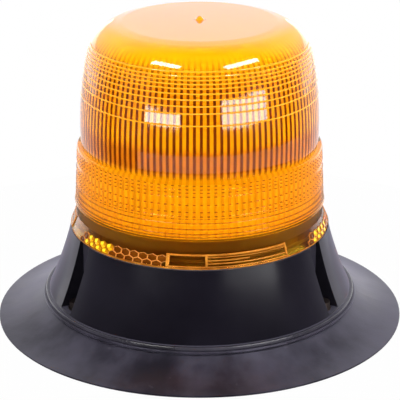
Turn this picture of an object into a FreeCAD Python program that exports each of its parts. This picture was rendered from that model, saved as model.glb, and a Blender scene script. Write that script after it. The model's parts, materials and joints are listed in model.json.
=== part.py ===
import FreeCAD, Part
import math
import os
import Sketcher

# Rotating beacon on a magnetic foot with a rubber skirt.
# Millimetres, +Z up, origin on the axis at the level that the foot stands on, front towards -Y.

SIZES = {
    # Rubber boot
    "boot_width": 21.8,
    "boot_edge_thickness": 1.0,
    "boot_edge_bevel": 0.4,
    "boot_thickness": 3.0,
    "boot_lip": 0.6,
    "boot_hole_gap": 1.0,
    "boot_top_curve": 50.0,
    "boot_under_curve": 62.0,
    # Magnet and its steel cup
    "pad_thickness": 1.0,
    "cup_radius": 44.0,
    "cup_wall": 3.0,
    "cup_floor": 2.0,
    "magnet_height": 9.0,
    "magnet_hole_radius": 13.0,
    "magnet_clearance": 0.3,
    "bolt_radius": 3.0,
    "bolt_head_radius": 5.5,
    "bolt_head_height": 3.5,
    "bolt_nut_height": 5.0,
    "bolt_clearance": 0.2,
    # Pressed steel base plate
    "plate_thickness": 1.5,
    "plate_radius": 69.5,
    "plate_cup_clearance": 2.0,
    # Housing
    "nut_ground_gap": 1.8,
    "motor_floor_gap": 1.9,
    "foot_step": 1.6,
    "cone_margin": 1.5,
    "rim_margin": 0.2,
    "housing_curve": 180.0,
    "housing_wall": 2.5,
    "bead_height": 1.9,
    "bead_step": 0.5,
    "deck_thickness": 2.5,
    "collar_radius": 53.0,
    "collar_wall": 2.5,
    "collar_margin": 1.8,
    # Screw pockets
    "pocket_width": 9.4,
    "pocket_depth": 6.0,
    "pocket_floor": 4.5,
    "pocket_wall": 2.0,
    "screw_edge": 4.9,
    "screw_radius": 2.0,
    "screw_head_radius": 3.6,
    "screw_head_height": 2.8,
    "screw_clearance": 0.2,
    "washer_radius": 4.2,
    "washer_thickness": 0.8,
    "base_nut_radius": 3.8,
    "base_nut_height": 3.2,
    # Cable entry
    "entry_height": 21.0,
    "entry_bore_radius": 3.2,
    "entry_waist_radius": 5.5,
    "entry_flange_radius": 7.5,
    "entry_flange_thickness": 2.0,
    "entry_inset": 5.0,
    "entry_wall": 4.0,
    "entry_relief": 6.0,
    "entry_seat_gap": 1.0,
    "entry_clearance": 0.1,
    # Lens
    "lens_gap": 0.3,
    "lens_wall": 2.4,
    "lens_foot_flare": 2.7,
    "lens_foot_width": 4.2,
    "lens_foot_edge": 0.8,
    "lens_foot_bore_height": 1.6,
    "lens_foot_bore_slope": 1.0,
    "lens_flare_height": 5.5,
    "skirt_height": 12.4,
    "catch_gap": 0.4,
    "drum_height": 27.0,
    "drum_step": 0.4,
    "drum_taper": 1.3,
    "body_step": 1.7,
    "lens_head_room": 9.4,
    "body_curve": 150.0,
    "body_taper": 4.25,
    "shoulder_height": 12.35,
    "shoulder_curve": 19.25,
    "shoulder_width": 14.65,
    "crown_height": 0.45,
    "crown_curve": 1400.0,
    "step_height": 2.2,
    "gate_radius": 2.1,
    "gate_tip_radius": 0.5,
    "gate_height": 1.8,
    "groove_depth": 0.5,
    "groove_height": 0.7,
    # Twist lock of the lens
    "lock_clearance": 0.4,
    "lock_play": 0.3,
    "lug_height": 2.2,
    "lug_lift": 3.2,
    "lug_span": 12.0,
    "catch_height": 2.0,
    "catch_span": 14.0,
    "catch_depth": 1.5,
    "stop_span": 3.0,
    "frame_span": 55.5,
    "frame_middle": -76.75,
    "frame_low": 1.4,
    "frame_height": 5.0,
    "frame_depth": 0.9,
    "seal_width": 1.3,
    "seal_thickness": 1.2,
    "seal_margin": 2.4,
    "seal_groove_depth": 1.0,
    "seal_clearance": 0.1,
    # Chassis plate on its rubber mounts
    "chassis_height": 1.8,
    "chassis_thickness": 1.5,
    "chassis_gap": 3.5,
    "chassis_screw_edge": 7.0,
    "chassis_screw_radius": 1.5,
    "chassis_head_radius": 3.0,
    "chassis_head_height": 2.0,
    "chassis_nut_radius": 3.0,
    "chassis_nut_height": 2.4,
    "grommet_waist_radius": 3.5,
    "grommet_flange_radius": 5.5,
    "grommet_clearance": 0.1,
    # Fixed spindle and what turns on it
    "spindle_radius": 4.5,
    "spindle_bore_radius": 2.6,
    "spindle_flange_radius": 8.0,
    "spindle_flange_thickness": 1.3,
    "spindle_height": 22.5,
    "running_clearance": 0.05,
    "seat_clearance": 0.02,
    "thrust_thickness": 0.8,
    "thrust_radius": 7.6,
    "end_play": 0.2,
    "bush_wall": 2.0,
    "bush_length": 13.7,
    "hub_wall": 2.0,
    "clip_thickness": 0.7,
    "clip_radius": 7.5,
    "clip_groove": 0.6,
    "carrier_disc_radius": 28.0,
    "carrier_disc_thickness": 2.5,
    "carrier_disc_lift": 8.0,
    "upright_width": 26.0,
    "upright_thickness": 2.5,
    "boss_gap": 2.5,
    "upright_margin": 2.0,
    "rib_thickness": 2.2,
    "rib_depth": 6.0,
    "rib_height": 18.0,
    # Gears
    "gear_module": 0.8,
    "gear_teeth": 45,
    "pinion_teeth": 15,
    "gear_width": 4.5,
    "pinion_width": 4.5,
    "pinion_drop": 0.4,
    "gear_backlash": 0.16,
    "gear_screw_circle": 13.0,
    "gear_screw_radius": 1.0,
    "gear_head_radius": 1.9,
    "gear_head_height": 1.2,
    # Reflector
    "focal_length": 14.0,
    "reflector_gap": 12.05,
    "reflector_half_height": 18.0,
    "reflector_thickness": 1.5,
    "dish_margin": 4.0,
    "boss_radius": 3.2,
    "boss_spacing": 18.0,
    "reflector_screw_radius": 1.25,
    "reflector_head_radius": 2.6,
    "reflector_head_height": 1.8,
    "reflector_screw_length": 3.6,
    # Lamp and holder
    "holder_radius": 8.0,
    "holder_grip": 6.0,
    "lamp_light_centre": 23.3,
    "lamp_seat_gap": 0.5,
    "lamp_base_radius": 4.8,
    "lamp_base_length": 6.0,
    "lamp_flange_radius": 7.0,
    "lamp_flange_thickness": 1.2,
    "glass_radius": 4.75,
    "glass_wall": 0.8,
    "glass_height": 31.0,
    "filament_radius": 0.75,
    "filament_length": 5.0,
    "post_radius": 0.3,
    "post_offset": 1.6,
    "clip_wire": 0.8,
    # Motor
    "motor_radius": 12.0,
    "motor_wall": 0.8,
    "motor_length": 26.0,
    "motor_cap_thickness": 2.0,
    "motor_spigot_depth": 2.0,
    "motor_boss_radius": 3.0,
    "motor_boss_height": 1.2,
    "motor_shaft_radius": 1.0,
    "motor_clearance": 0.05,
    "armature_radius": 7.8,
    "armature_length": 16.0,
    "armature_lift": 4.5,
    "magnet_air_gap": 0.5,
    "motor_screw_spacing": 8.0,
    "motor_screw_radius": 1.25,
    "motor_head_radius": 2.2,
    "motor_head_height": 1.2,
    "tab_width": 3.0,
    "tab_thickness": 0.8,
    "tab_length": 2.6,
    # Wiring
    "block_length": 22.0,
    "block_width": 12.0,
    "block_height": 9.0,
    "block_offset": 21.0,
    "block_screw_radius": 2.0,
    "block_peg_radius": 2.0,
    "block_screw_height": 0.8,
    "block_screw_spacing": 4.6,
    "lead_radius": 1.0,
    "lead_bend": 7.0,
    "lead_spacing": 16.0,
}

# Where three like things stand about the axis, in degrees from +X
POCKET_ANGLE = 90
ENTRY_ANGLE = 30
CATCH_ANGLE = -90
MOUNT_ANGLE = 60

# The motor's two magnets: where each lies about the shaft and how far round it reaches, in degrees
MAGNET_ANGLE = 90
MAGNET_SPAN = 120
FOLD = 3

# Tooth form of the gears: flank angle in degrees, and heights in modules
PRESSURE_ANGLE = 20
GEAR_ADDENDUM = 0.9
PINION_ADDENDUM = 0.95
DEDENDUM = 1.25

# Heights of the fine grooves round the lens, above its lower edge
DRUM_GROOVES = (15.3, 17.5, 20.3, 22.3, 24.4, 27.0, 30.8, 34.2, 37.3)
BODY_GROOVES = (64.0, 69.3, 72.4, 75.2, 77.7, 79.9, 81.7, 83.4, 85.0, 86.8)

document = FreeCAD.newDocument("beacon")
sheet = document.addObject("Spreadsheet::Sheet", "Sizes")


class Measure:
    """A size worked out from the sheet: its number and the expression that binds it."""

    def __init__(self, number, text):
        self.number = float(number)
        self.text = text

    def __add__(self, other):
        other = measure(other)
        return Measure(self.number + other.number, f"({self.text} + {other.text})")

    def __sub__(self, other):
        other = measure(other)
        return Measure(self.number - other.number, f"({self.text} - {other.text})")

    def __mul__(self, other):
        other = measure(other)
        return Measure(self.number * other.number, f"({self.text} * {other.text})")

    def __truediv__(self, other):
        other = measure(other)
        return Measure(self.number / other.number, f"({self.text} / {other.text})")

    def __neg__(self):
        return Measure(-self.number, f"(-{self.text})")

    __radd__ = __add__
    __rmul__ = __mul__


def measure(value):
    """A plain number as a Measure."""
    if isinstance(value, Measure):
        return value
    return Measure(value, f"({value})")


def cosine(angle):
    angle = measure(angle)
    return Measure(math.cos(math.radians(angle.number)), f"cos({angle.text} * 1deg)")


def sine(angle):
    angle = measure(angle)
    return Measure(math.sin(math.radians(angle.number)), f"sin({angle.text} * 1deg)")


def fill_sheet():
    """The driving sizes, one named cell each."""
    for row, (name, value) in enumerate(SIZES.items(), start=1):
        sheet.set(f"A{row}", name)
        sheet.set(f"B{row}", str(value))
        sheet.setAlias(f"B{row}", name)
    document.recompute()


def size(name):
    return Measure(sheet.get(name), f"Sizes.{name}")


def plane(body, role):
    """One of the body's own origin planes or axes."""
    return next(part for part in body.Origin.OriginFeatures if part.Role == role)


def arc_edge(start, end, bend):
    """The arc between two points whose centre lies to the left of the way there, or right if bend is negative."""
    radius = abs(bend)
    chord = end - start
    middle = (start + end) / 2
    rise = math.sqrt(radius ** 2 - (chord.Length / 2) ** 2)
    left = FreeCAD.Vector(-chord.y, chord.x, 0).normalize()
    centre = middle + left * (rise if bend > 0 else -rise)
    first, last = (start, end) if bend > 0 else (end, start)
    low = math.atan2(first.y - centre.y, first.x - centre.x)
    high = math.atan2(last.y - centre.y, last.x - centre.x)
    circle = Part.Circle(centre, FreeCAD.Vector(0, 0, 1), radius)
    return Part.ArcOfCircle(circle, low, high if high > low else high + 2 * math.pi)


def pin(sketch, kind, geometry, place, value):
    """Hold a point of the sketch at a bound distance from its origin."""
    index = sketch.addConstraint(Sketcher.Constraint(kind, -1, 1, geometry, place, value.number))
    sketch.setExpression(f"Constraints[{index}]", value.text)


def draw_outline(sketch, outline):
    """A closed outline of (x, y) points; a third value bends the edge that leaves the point."""
    points = [[measure(value) for value in point] for point in outline]
    ends = []
    for index, point in enumerate(points):
        following = points[(index + 1) % len(points)]
        start = FreeCAD.Vector(point[0].number, point[1].number, 0)
        end = FreeCAD.Vector(following[0].number, following[1].number, 0)
        bend = point[2] if len(point) > 2 else None
        edge = arc_edge(start, end, bend.number) if bend else Part.LineSegment(start, end)
        geometry = sketch.addGeometry(edge, False)
        turned = bool(bend) and bend.number < 0
        ends.append((geometry, 2, 1) if turned else (geometry, 1, 2))
        if bend:
            radius = -bend if turned else bend
            held = sketch.addConstraint(Sketcher.Constraint("Radius", geometry, radius.number))
            sketch.setExpression(f"Constraints[{held}]", radius.text)
    for index, (geometry, first, last) in enumerate(ends):
        pin(sketch, "DistanceX", geometry, first, points[index][0])
        pin(sketch, "DistanceY", geometry, first, points[index][1])
        other, other_first, _ = ends[(index + 1) % len(ends)]
        sketch.addConstraint(Sketcher.Constraint("Coincident", geometry, last, other, other_first))


def draw_circle(sketch, x, y, radius):
    x, y, radius = measure(x), measure(y), measure(radius)
    circle = Part.Circle(FreeCAD.Vector(x.number, y.number, 0), FreeCAD.Vector(0, 0, 1), radius.number)
    geometry = sketch.addGeometry(circle, False)
    held = sketch.addConstraint(Sketcher.Constraint("Radius", geometry, radius.number))
    sketch.setExpression(f"Constraints[{held}]", radius.text)
    pin(sketch, "DistanceX", geometry, 3, x)
    pin(sketch, "DistanceY", geometry, 3, y)


def new_sketch(body, role, shift=None, axis="z"):
    """A sketch on one of the body's origin planes, moved along the named axis of the sketch."""
    sketch = body.newObject("Sketcher::SketchObject", f"{body.Name}_outline")
    sketch.AttachmentSupport = [(plane(body, role), "")]
    sketch.MapMode = "FlatFace"
    if shift is not None:
        sketch.setExpression(f"AttachmentOffset.Base.{axis}", measure(shift).text)
    return sketch


def repeat(body, feature, copies):
    """Copies of a feature evenly round the body's own axis."""
    pattern = body.newObject("PartDesign::PolarPattern", f"{body.Name}_round")
    pattern.Originals = [feature]
    pattern.Axis = (plane(body, "Z_Axis"), [""])
    pattern.Angle = 360
    pattern.Occurrences = copies
    body.Tip = pattern
    return pattern


def turned(name, outline, away=None, copies=1, angle=0):
    """A body turned from an outline of (radius, height), about the axis or about a line away from it."""
    body = document.addObject("PartDesign::Body", name)
    sketch = new_sketch(body, "XZ_Plane", away, "x")
    draw_outline(sketch, outline)
    turn = body.newObject("PartDesign::Revolution", f"{name}_turn")
    turn.Profile = sketch
    turn.ReferenceAxis = (sketch, ["V_Axis"])
    turn.Angle = 360
    if copies > 1:
        repeat(body, turn, copies)
    body.Placement = FreeCAD.Placement(FreeCAD.Vector(), FreeCAD.Rotation(FreeCAD.Vector(0, 0, 1), angle))
    return body


def raised(name, shapes, low, high, copies=1, angle=0):
    """A body raised between two heights from outlines, or from circles given as (x, y, radius)."""
    body = document.addObject("PartDesign::Body", name)
    sketch = new_sketch(body, "XY_Plane", low)
    for shape in shapes:
        if isinstance(shape, tuple):
            draw_circle(sketch, *shape)
        else:
            draw_outline(sketch, shape)
    pad = body.newObject("PartDesign::Pad", f"{name}_pad")
    pad.Profile = sketch
    pad.setExpression("Length", (high - low).text)
    if copies > 1:
        repeat(body, pad, copies)
    body.Placement = FreeCAD.Placement(FreeCAD.Vector(), FreeCAD.Rotation(FreeCAD.Vector(0, 0, 1), angle))
    return body


def rectangle(x_low, x_high, y_low, y_high):
    return [(x_low, y_low), (x_high, y_low), (x_high, y_high), (x_low, y_high)]


def sector(inner, outer, middle, span):
    """The outline of a curved bar between two radii, spread about a middle angle."""
    low = middle - span / 2
    high = middle + span / 2
    return [
        (outer * cosine(low), outer * sine(low), outer),
        (outer * cosine(high), outer * sine(high)),
        (inner * cosine(high), inner * sine(high), -inner),
        (inner * cosine(low), inner * sine(low)),
    ]


def cut(name, base, *tools):
    """The base with the tools taken away."""
    tool = tools[0] if len(tools) == 1 else fuse(f"{name}_tools", *tools)
    result = document.addObject("Part::Cut", name)
    result.Base = base
    result.Tool = tool
    return result


def fuse(name, *parts):
    result = document.addObject("Part::MultiFuse", name)
    result.Shapes = list(parts)
    return result


def common(name, first, second):
    result = document.addObject("Part::Common", name)
    result.Base = first
    result.Tool = second
    return result


def ring(inner, outer, low, high):
    """The outline of a plain ring or disc."""
    return [(inner, low), (outer, low), (outer, high), (inner, high)]


def headed_pin(shank, head, tip, seat, top):
    """The outline of a screw that stands head up: a shank below its seat and a head above it."""
    return [(0, tip), (shank, tip), (shank, seat), (head, seat), (head, top), (0, top)]


def across(outline):
    """An outline of (radius, height) with its heights mirrored, for a screw that points the other way."""
    return [(point[0], -point[1]) for point in outline]


fill_sheet()

# Levels from the ground up
pad_top = size("pad_thickness")
magnet_top = pad_top + size("magnet_height")
cup_top = magnet_top + size("cup_floor")
plate_top = cup_top + size("plate_thickness")
flange_low = size("nut_ground_gap") + size("base_nut_height")
boot_low = flange_low + size("plate_thickness")
foot = boot_low + size("boot_thickness")
pocket_level = foot + size("pocket_floor")
tabs_low = plate_top + size("motor_floor_gap")
motor_low = tabs_low + size("tab_length") + size("motor_cap_thickness")
chassis_low = motor_low + size("motor_length")
chassis_top = chassis_low + size("chassis_thickness")
rim = chassis_low - size("chassis_height")
deck_low = rim - size("deck_thickness")
lens_low = rim + size("lens_gap")
lug_low = lens_low + size("lug_lift")
catch_low = lug_low + size("lug_height") + size("lock_play")
catch_top = catch_low + size("catch_height")
collar_top = catch_top + size("collar_margin")
skirt_top = lens_low + size("skirt_height")
drum_top = skirt_top + size("drum_height")
spindle_top = chassis_top + size("spindle_height")
lamp_seat = spindle_top + size("holder_grip") + size("lamp_seat_gap")
lamp_flange_top = lamp_seat + size("lamp_flange_thickness")
focal_height = lamp_flange_top + size("lamp_light_centre")
upright_top = focal_height + size("boss_spacing") / 2 + size("upright_margin")
shoulder_low = focal_height + size("reflector_half_height") + size("lens_head_room")
crown_low = shoulder_low + size("shoulder_height")
crown_top = crown_low + size("crown_height")

# Radii of the foot, from the plate outward and inward
plate_step = size("cup_radius") + size("plate_cup_clearance")
plate_wall = plate_step + size("plate_thickness")
screw_circle = size("plate_radius") - size("screw_edge")
pocket_back = screw_circle - size("pocket_depth")
cone_radius = size("plate_radius") + size("cone_margin")
foot_radius = cone_radius + size("foot_step")
entry_face = cone_radius - size("entry_inset")
boot_hole = plate_wall + size("boot_hole_gap")
boot_neck = foot_radius + size("boot_lip")
boot_edge = boot_neck + size("boot_width")

# Radii of the lens, from the collar that it locks to
catch_radius = size("collar_radius") + size("catch_depth")
skirt_radius = catch_radius + size("catch_gap") + size("lens_wall")
drum_radius = skirt_radius + size("drum_step")
drum_top_radius = drum_radius - size("drum_taper")
body_radius = drum_top_radius - size("body_step")
shoulder_radius = body_radius - size("body_taper")
crown_radius = shoulder_radius - size("shoulder_width")
lens_foot_radius = skirt_radius + size("lens_foot_flare")
seal_radius = lens_foot_radius - size("seal_margin")
rim_radius = lens_foot_radius + size("rim_margin")

# Radii of the works inside them
chassis_radius = size("collar_radius") - size("collar_wall") - size("chassis_gap")
chassis_screw_circle = chassis_radius - size("chassis_screw_edge")
reflector_half_width = shoulder_radius - size("lens_wall") - size("reflector_gap")
upright_offset = size("focal_length") + size("reflector_thickness") + size("boss_gap")


def make_boot():
    """Soft rubber skirt, clamped between the housing and the base plate."""
    hole = size("screw_radius") + size("screw_clearance")
    body = turned("boot_ring", [
        (boot_hole, boot_low),
        (size("plate_radius") + 1, boot_low, size("boot_under_curve")),
        (boot_edge - size("boot_edge_bevel"), 0),
        (boot_edge, size("boot_edge_bevel")),
        (boot_edge, size("boot_edge_thickness"), -size("boot_top_curve")),
        (boot_neck, foot),
        (boot_hole, foot),
    ])
    holes = raised("boot_holes", [(screw_circle, 0, hole)], flange_low, rim, FOLD, POCKET_ANGLE)
    return cut("rubber_boot", body, holes)


def make_magnet():
    """Ring magnet in a steel cup that holds the foot down, with its rubber pad, bolt and nut."""
    cup = size("cup_radius")
    inside = cup - size("cup_wall")
    bolt = size("bolt_radius")
    head = size("bolt_head_radius")
    hole = bolt + size("bolt_clearance")
    turned("magnet_pad", ring(size("magnet_hole_radius"), cup, 0, pad_top))
    turned("magnet_cup", [
        (hole, magnet_top),
        (inside, magnet_top),
        (inside, pad_top),
        (cup, pad_top),
        (cup, cup_top),
        (hole, cup_top),
    ])
    turned("ring_magnet", ring(size("magnet_hole_radius"), inside - size("magnet_clearance"), pad_top, magnet_top))
    turned("magnet_bolt", across(headed_pin(
        bolt, head, -(plate_top + size("bolt_nut_height") + 1), -magnet_top, size("bolt_head_height") - magnet_top,
    )))
    nut = raised("nut_blank", [hexagon(head * 0.95)], plate_top, plate_top + size("bolt_nut_height"))
    bore = raised("nut_bore", [(0, 0, bolt + size("seat_clearance"))], cup_top, rim)
    return cut("magnet_nut", nut, bore)


def hexagon(radius):
    return [(radius * cosine(60 * corner), radius * sine(60 * corner)) for corner in range(6)]


def make_base_plate():
    """Pressed steel plate: a raised middle over the magnet and a flange that clamps the boot."""
    plate = turned("plate_blank", [
        (size("bolt_radius") + size("bolt_clearance"), cup_top),
        (plate_step, cup_top),
        (plate_step, flange_low),
        (size("plate_radius"), flange_low),
        (size("plate_radius"), boot_low),
        (plate_wall, boot_low),
        (plate_wall, plate_top),
        (size("bolt_radius") + size("bolt_clearance"), plate_top),
    ])
    hole = size("screw_radius") + size("seat_clearance")
    holes = raised("plate_holes", [(screw_circle, 0, hole)], measure(0), foot, FOLD, POCKET_ANGLE)
    cut("base_plate", plate, holes)
    turned(
        "base_nuts",
        ring(hole, size("base_nut_radius"), flange_low - size("base_nut_height"), flange_low),
        screw_circle, FOLD, POCKET_ANGLE,
    )


def make_housing():
    """Black moulded base: a flared shell with a deck, a collar for the lens and three screw pockets."""
    wall = size("housing_wall")
    bead = size("bead_height")
    cone_low = foot + bead * 2
    cone = cone_radius
    top = rim_radius
    collar = size("collar_radius")
    collar_bore = collar - size("collar_wall")
    seal_inner = seal_radius - size("seal_width") - size("seal_clearance") * 2
    groove_floor = rim - size("seal_groove_depth")
    outside = turned("housing_outside", [
        (0, foot),
        (foot_radius, foot),
        (foot_radius, foot + bead),
        (foot_radius - size("bead_step"), foot + bead),
        (foot_radius - size("bead_step"), cone_low),
        (cone, cone_low, -size("housing_curve")),
        (top, rim),
        (seal_radius, rim),
        (seal_radius, groove_floor),
        (seal_inner, groove_floor),
        (seal_inner, rim),
        (collar, rim),
        (collar, collar_top),
        (collar_bore, collar_top),
        (collar_bore, rim),
        (0, rim),
    ])
    hollow = turned("housing_hollow", [
        (0, foot),
        (cone - wall, foot),
        (cone - wall, cone_low, -size("housing_curve")),
        (top - wall, deck_low),
        (0, deck_low),
    ])
    half = size("pocket_width") / 2
    side = half + size("pocket_wall")
    pocket_walls = raised(
        "pocket_walls", [rectangle(pocket_back - size("pocket_wall"), boot_edge, -side, side)],
        foot, rim, FOLD, POCKET_ANGLE,
    )
    pockets = raised(
        "pockets", [rectangle(pocket_back, boot_edge, -half, half)],
        pocket_level, collar_top, FOLD, POCKET_ANGLE,
    )
    boss, entry_tools = entry_cutters()
    void = cut("housing_void", hollow, pocket_walls, boss)
    screw_holes = raised(
        "housing_screw_holes",
        [(screw_circle, 0, size("screw_radius") + size("screw_clearance"))],
        flange_low, rim, FOLD, POCKET_ANGLE,
    )
    grommet_holes = raised(
        "deck_holes",
        [(chassis_screw_circle, 0, size("grommet_waist_radius") + size("grommet_clearance"))],
        deck_low - 1, rim + 1, FOLD, MOUNT_ANGLE,
    )
    motor_opening = raised("motor_opening", [(motor_offset, 0, size("motor_radius") + 1)], deck_low - 1, rim + 1)
    lead_opening = raised("lead_opening", [(0, 0, size("spindle_bore_radius") + 3)], deck_low - 1, rim + 1)
    peg_hole = raised("peg_hole", [(-size("block_offset"), 0, size("block_peg_radius"))], deck_low - 1, rim + 1)
    shell = cut(
        "housing_shell", outside, void, pockets, screw_holes, grommet_holes,
        motor_opening, lead_opening, peg_hole, *entry_tools,
    )
    fuse("housing", shell, make_catches())


def make_catches():
    """Three ledges on the collar that hold the lens down, each with a stop at one end."""
    inner = size("collar_radius") - size("collar_wall") / 2
    ledges = raised(
        "catch_ledges", [sector(inner, catch_radius, measure(0), size("catch_span"))],
        catch_low, catch_top, FOLD, CATCH_ANGLE,
    )
    edge = -(size("lug_span") / 2 + size("stop_span") / 2 + size("lock_play"))
    stops = raised(
        "catch_stops", [sector(inner, catch_radius, edge, size("stop_span"))],
        lug_low, catch_low + size("catch_height") / 2, FOLD, CATCH_ANGLE,
    )
    return fuse("catches", ledges, stops)


def entry_cutters():
    """Wall boss and hole of the cable entry, low in the shell."""
    face = entry_face
    wall = size("entry_wall")
    height = size("entry_height")
    flange = size("entry_flange_radius") + size("entry_seat_gap")

    def radial(name, radius, near, far):
        drum = document.addObject("Part::Cylinder", name)
        drum.setExpression("Radius", radius.text)
        drum.setExpression("Height", (far - near).text)
        drum.Placement = FreeCAD.Placement(FreeCAD.Vector(), entry_turn())
        drum.setExpression("Placement.Base.x", (near * cosine(ENTRY_ANGLE)).text)
        drum.setExpression("Placement.Base.y", (near * sine(ENTRY_ANGLE)).text)
        drum.setExpression("Placement.Base.z", height.text)
        return drum

    back = face - wall
    behind = back - size("entry_relief")
    boss = radial("entry_boss", flange + size("entry_seat_gap"), back, boot_edge)
    seat = radial("entry_seat", flange, face, boot_edge)
    relief = radial("entry_back", flange, behind, back)
    hole = radial("entry_hole", size("entry_waist_radius"), behind, boot_edge)
    return boss, (seat, relief, hole)


def entry_turn():
    """Turns +Z to point outward at the cable entry."""
    around = FreeCAD.Rotation(FreeCAD.Vector(0, 0, 1), ENTRY_ANGLE)
    return around.multiply(FreeCAD.Rotation(FreeCAD.Vector(0, 1, 0), 90))


def make_cable_grommet():
    """Rubber grommet in the cable entry, a flange on each side of the wall."""
    face = entry_face
    wall = size("entry_wall")
    lip = size("entry_flange_thickness")
    waist = size("entry_waist_radius") - size("entry_clearance")
    body = turned("cable_grommet", [
        (size("entry_bore_radius"), face - wall - lip),
        (size("entry_flange_radius"), face - wall - lip),
        (size("entry_flange_radius"), face - wall),
        (waist, face - wall),
        (waist, face),
        (size("entry_flange_radius"), face),
        (size("entry_flange_radius"), face + lip - 0.5),
        (size("entry_flange_radius") - 0.5, face + lip),
        (size("entry_bore_radius"), face + lip),
    ])
    body.Placement = FreeCAD.Placement(FreeCAD.Vector(), entry_turn())
    body.setExpression("Placement.Base.z", size("entry_height").text)


def make_housing_screws():
    """Three pan head screws down in the pockets, with their washers."""
    seat = pocket_level + size("washer_thickness")
    tip = flange_low - size("base_nut_height") + 0.2
    turned(
        "housing_screws",
        headed_pin(size("screw_radius"), size("screw_head_radius"), tip, seat, seat + size("screw_head_height")),
        screw_circle, FOLD, POCKET_ANGLE,
    )
    turned(
        "screw_washers",
        ring(size("screw_radius") + size("screw_clearance"), size("washer_radius"), pocket_level, seat),
        screw_circle, FOLD, POCKET_ANGLE,
    )


def body_radius_at(height):
    """Outside radius of the lens body or shoulder at a height above the lens's lower edge, as a number."""
    low = (drum_top + size("step_height") - lens_low).number
    turn = (shoulder_low - lens_low).number
    high = (crown_low - lens_low).number
    if height < turn:
        start = FreeCAD.Vector(body_radius.number, low, 0)
        end = FreeCAD.Vector(shoulder_radius.number, turn, 0)
        curve = arc_edge(start, end, size("body_curve").number)
    else:
        start = FreeCAD.Vector(shoulder_radius.number, turn, 0)
        end = FreeCAD.Vector(crown_radius.number, high, 0)
        curve = arc_edge(start, end, size("shoulder_curve").number)
    centre = curve.Center
    return centre.x + math.sqrt(curve.Radius ** 2 - (height - centre.y) ** 2)


def make_lens():
    """Moulded amber lens: a flared foot, a drum, a narrower body and a domed crown, one wall thick."""
    wall = size("lens_wall")
    flare = lens_low + size("lens_flare_height")
    step = drum_top + size("step_height")
    gate_top = crown_top + size("gate_height")
    shell = turned("lens_shell", [
        (lens_foot_radius - size("lens_foot_width"), lens_low),
        (lens_foot_radius, lens_low),
        (lens_foot_radius, lens_low + size("lens_foot_edge")),
        (skirt_radius + 0.5, flare),
        (skirt_radius, flare + 2),
        (skirt_radius, skirt_top),
        (drum_radius + 0.3, skirt_top),
        (drum_radius + 0.3, skirt_top + 1.3),
        (drum_radius, skirt_top + 2),
        (drum_top_radius, drum_top - 1),
        (drum_top_radius - 0.6, drum_top),
        (body_radius - 0.5, drum_top + 0.4),
        (body_radius, step, size("body_curve")),
        (shoulder_radius, shoulder_low, size("shoulder_curve")),
        (crown_radius, crown_low, size("crown_curve")),
        (size("gate_radius"), crown_top),
        (size("gate_tip_radius"), gate_top),
        (0, gate_top),
        (0, crown_top - wall),
        (crown_radius, crown_low - wall, wall - size("shoulder_curve")),
        (shoulder_radius - wall, shoulder_low - 0.6, -size("body_curve")),
        (body_radius - wall, step),
        (body_radius - wall, drum_top - wall * 0.6),
        (drum_top_radius - wall, drum_top - wall),
        (drum_radius - wall - 0.4, skirt_top),
        (skirt_radius - wall, skirt_top - 0.6),
        (skirt_radius - wall, lens_low + size("lens_foot_bore_height") + size("lens_foot_bore_slope")),
        (lens_foot_radius - size("lens_foot_width"), lens_low + size("lens_foot_bore_height")),
    ])
    depth = size("groove_depth")
    half = size("groove_height") / 2
    rings = document.addObject("PartDesign::Body", "lens_grooves")
    for index, level in enumerate(DRUM_GROOVES + BODY_GROOVES):
        if level < (drum_top - lens_low).number:
            share = (level - (skirt_top - lens_low).number) / size("drum_height").number
            surface = drum_radius + (drum_top_radius - drum_radius) * share
        else:
            surface = body_radius + (body_radius_at(level) - body_radius.number)
        height = lens_low + level
        sketch = new_sketch(rings, "XZ_Plane")
        draw_outline(sketch, [(surface - depth, height), (surface + 2, height - half * 5), (surface + 2, height + half)])
        turn = rings.newObject("PartDesign::Revolution", f"groove_{index}")
        turn.Profile = sketch
        turn.ReferenceAxis = (sketch, ["V_Axis"])
        turn.Angle = 360
    grooved = cut("lens_grooved", shell, rings)
    lugs = raised(
        "lens_lugs",
        [sector(size("collar_radius") + size("lock_clearance"), skirt_radius - wall / 2,
                measure(0), size("lug_span"))],
        lug_low, lug_low + size("lug_height"), FOLD, CATCH_ANGLE,
    )
    frame_low = lens_low + size("frame_low")
    panels = raised(
        "lens_panels",
        [sector(skirt_radius - wall / 2, skirt_radius + size("frame_depth") * 2,
                size("frame_middle"), size("frame_span"))],
        frame_low, frame_low + size("frame_height"), FOLD,
    )
    fuse("lens", grooved, lugs, panels)


def make_lens_seal():
    """Flat rubber ring in the groove of the rim, under the lens."""
    low = rim - size("seal_groove_depth")
    outer = seal_radius - size("seal_clearance")
    turned("lens_seal", ring(outer - size("seal_width"), outer, low, low + size("seal_thickness")))


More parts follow.
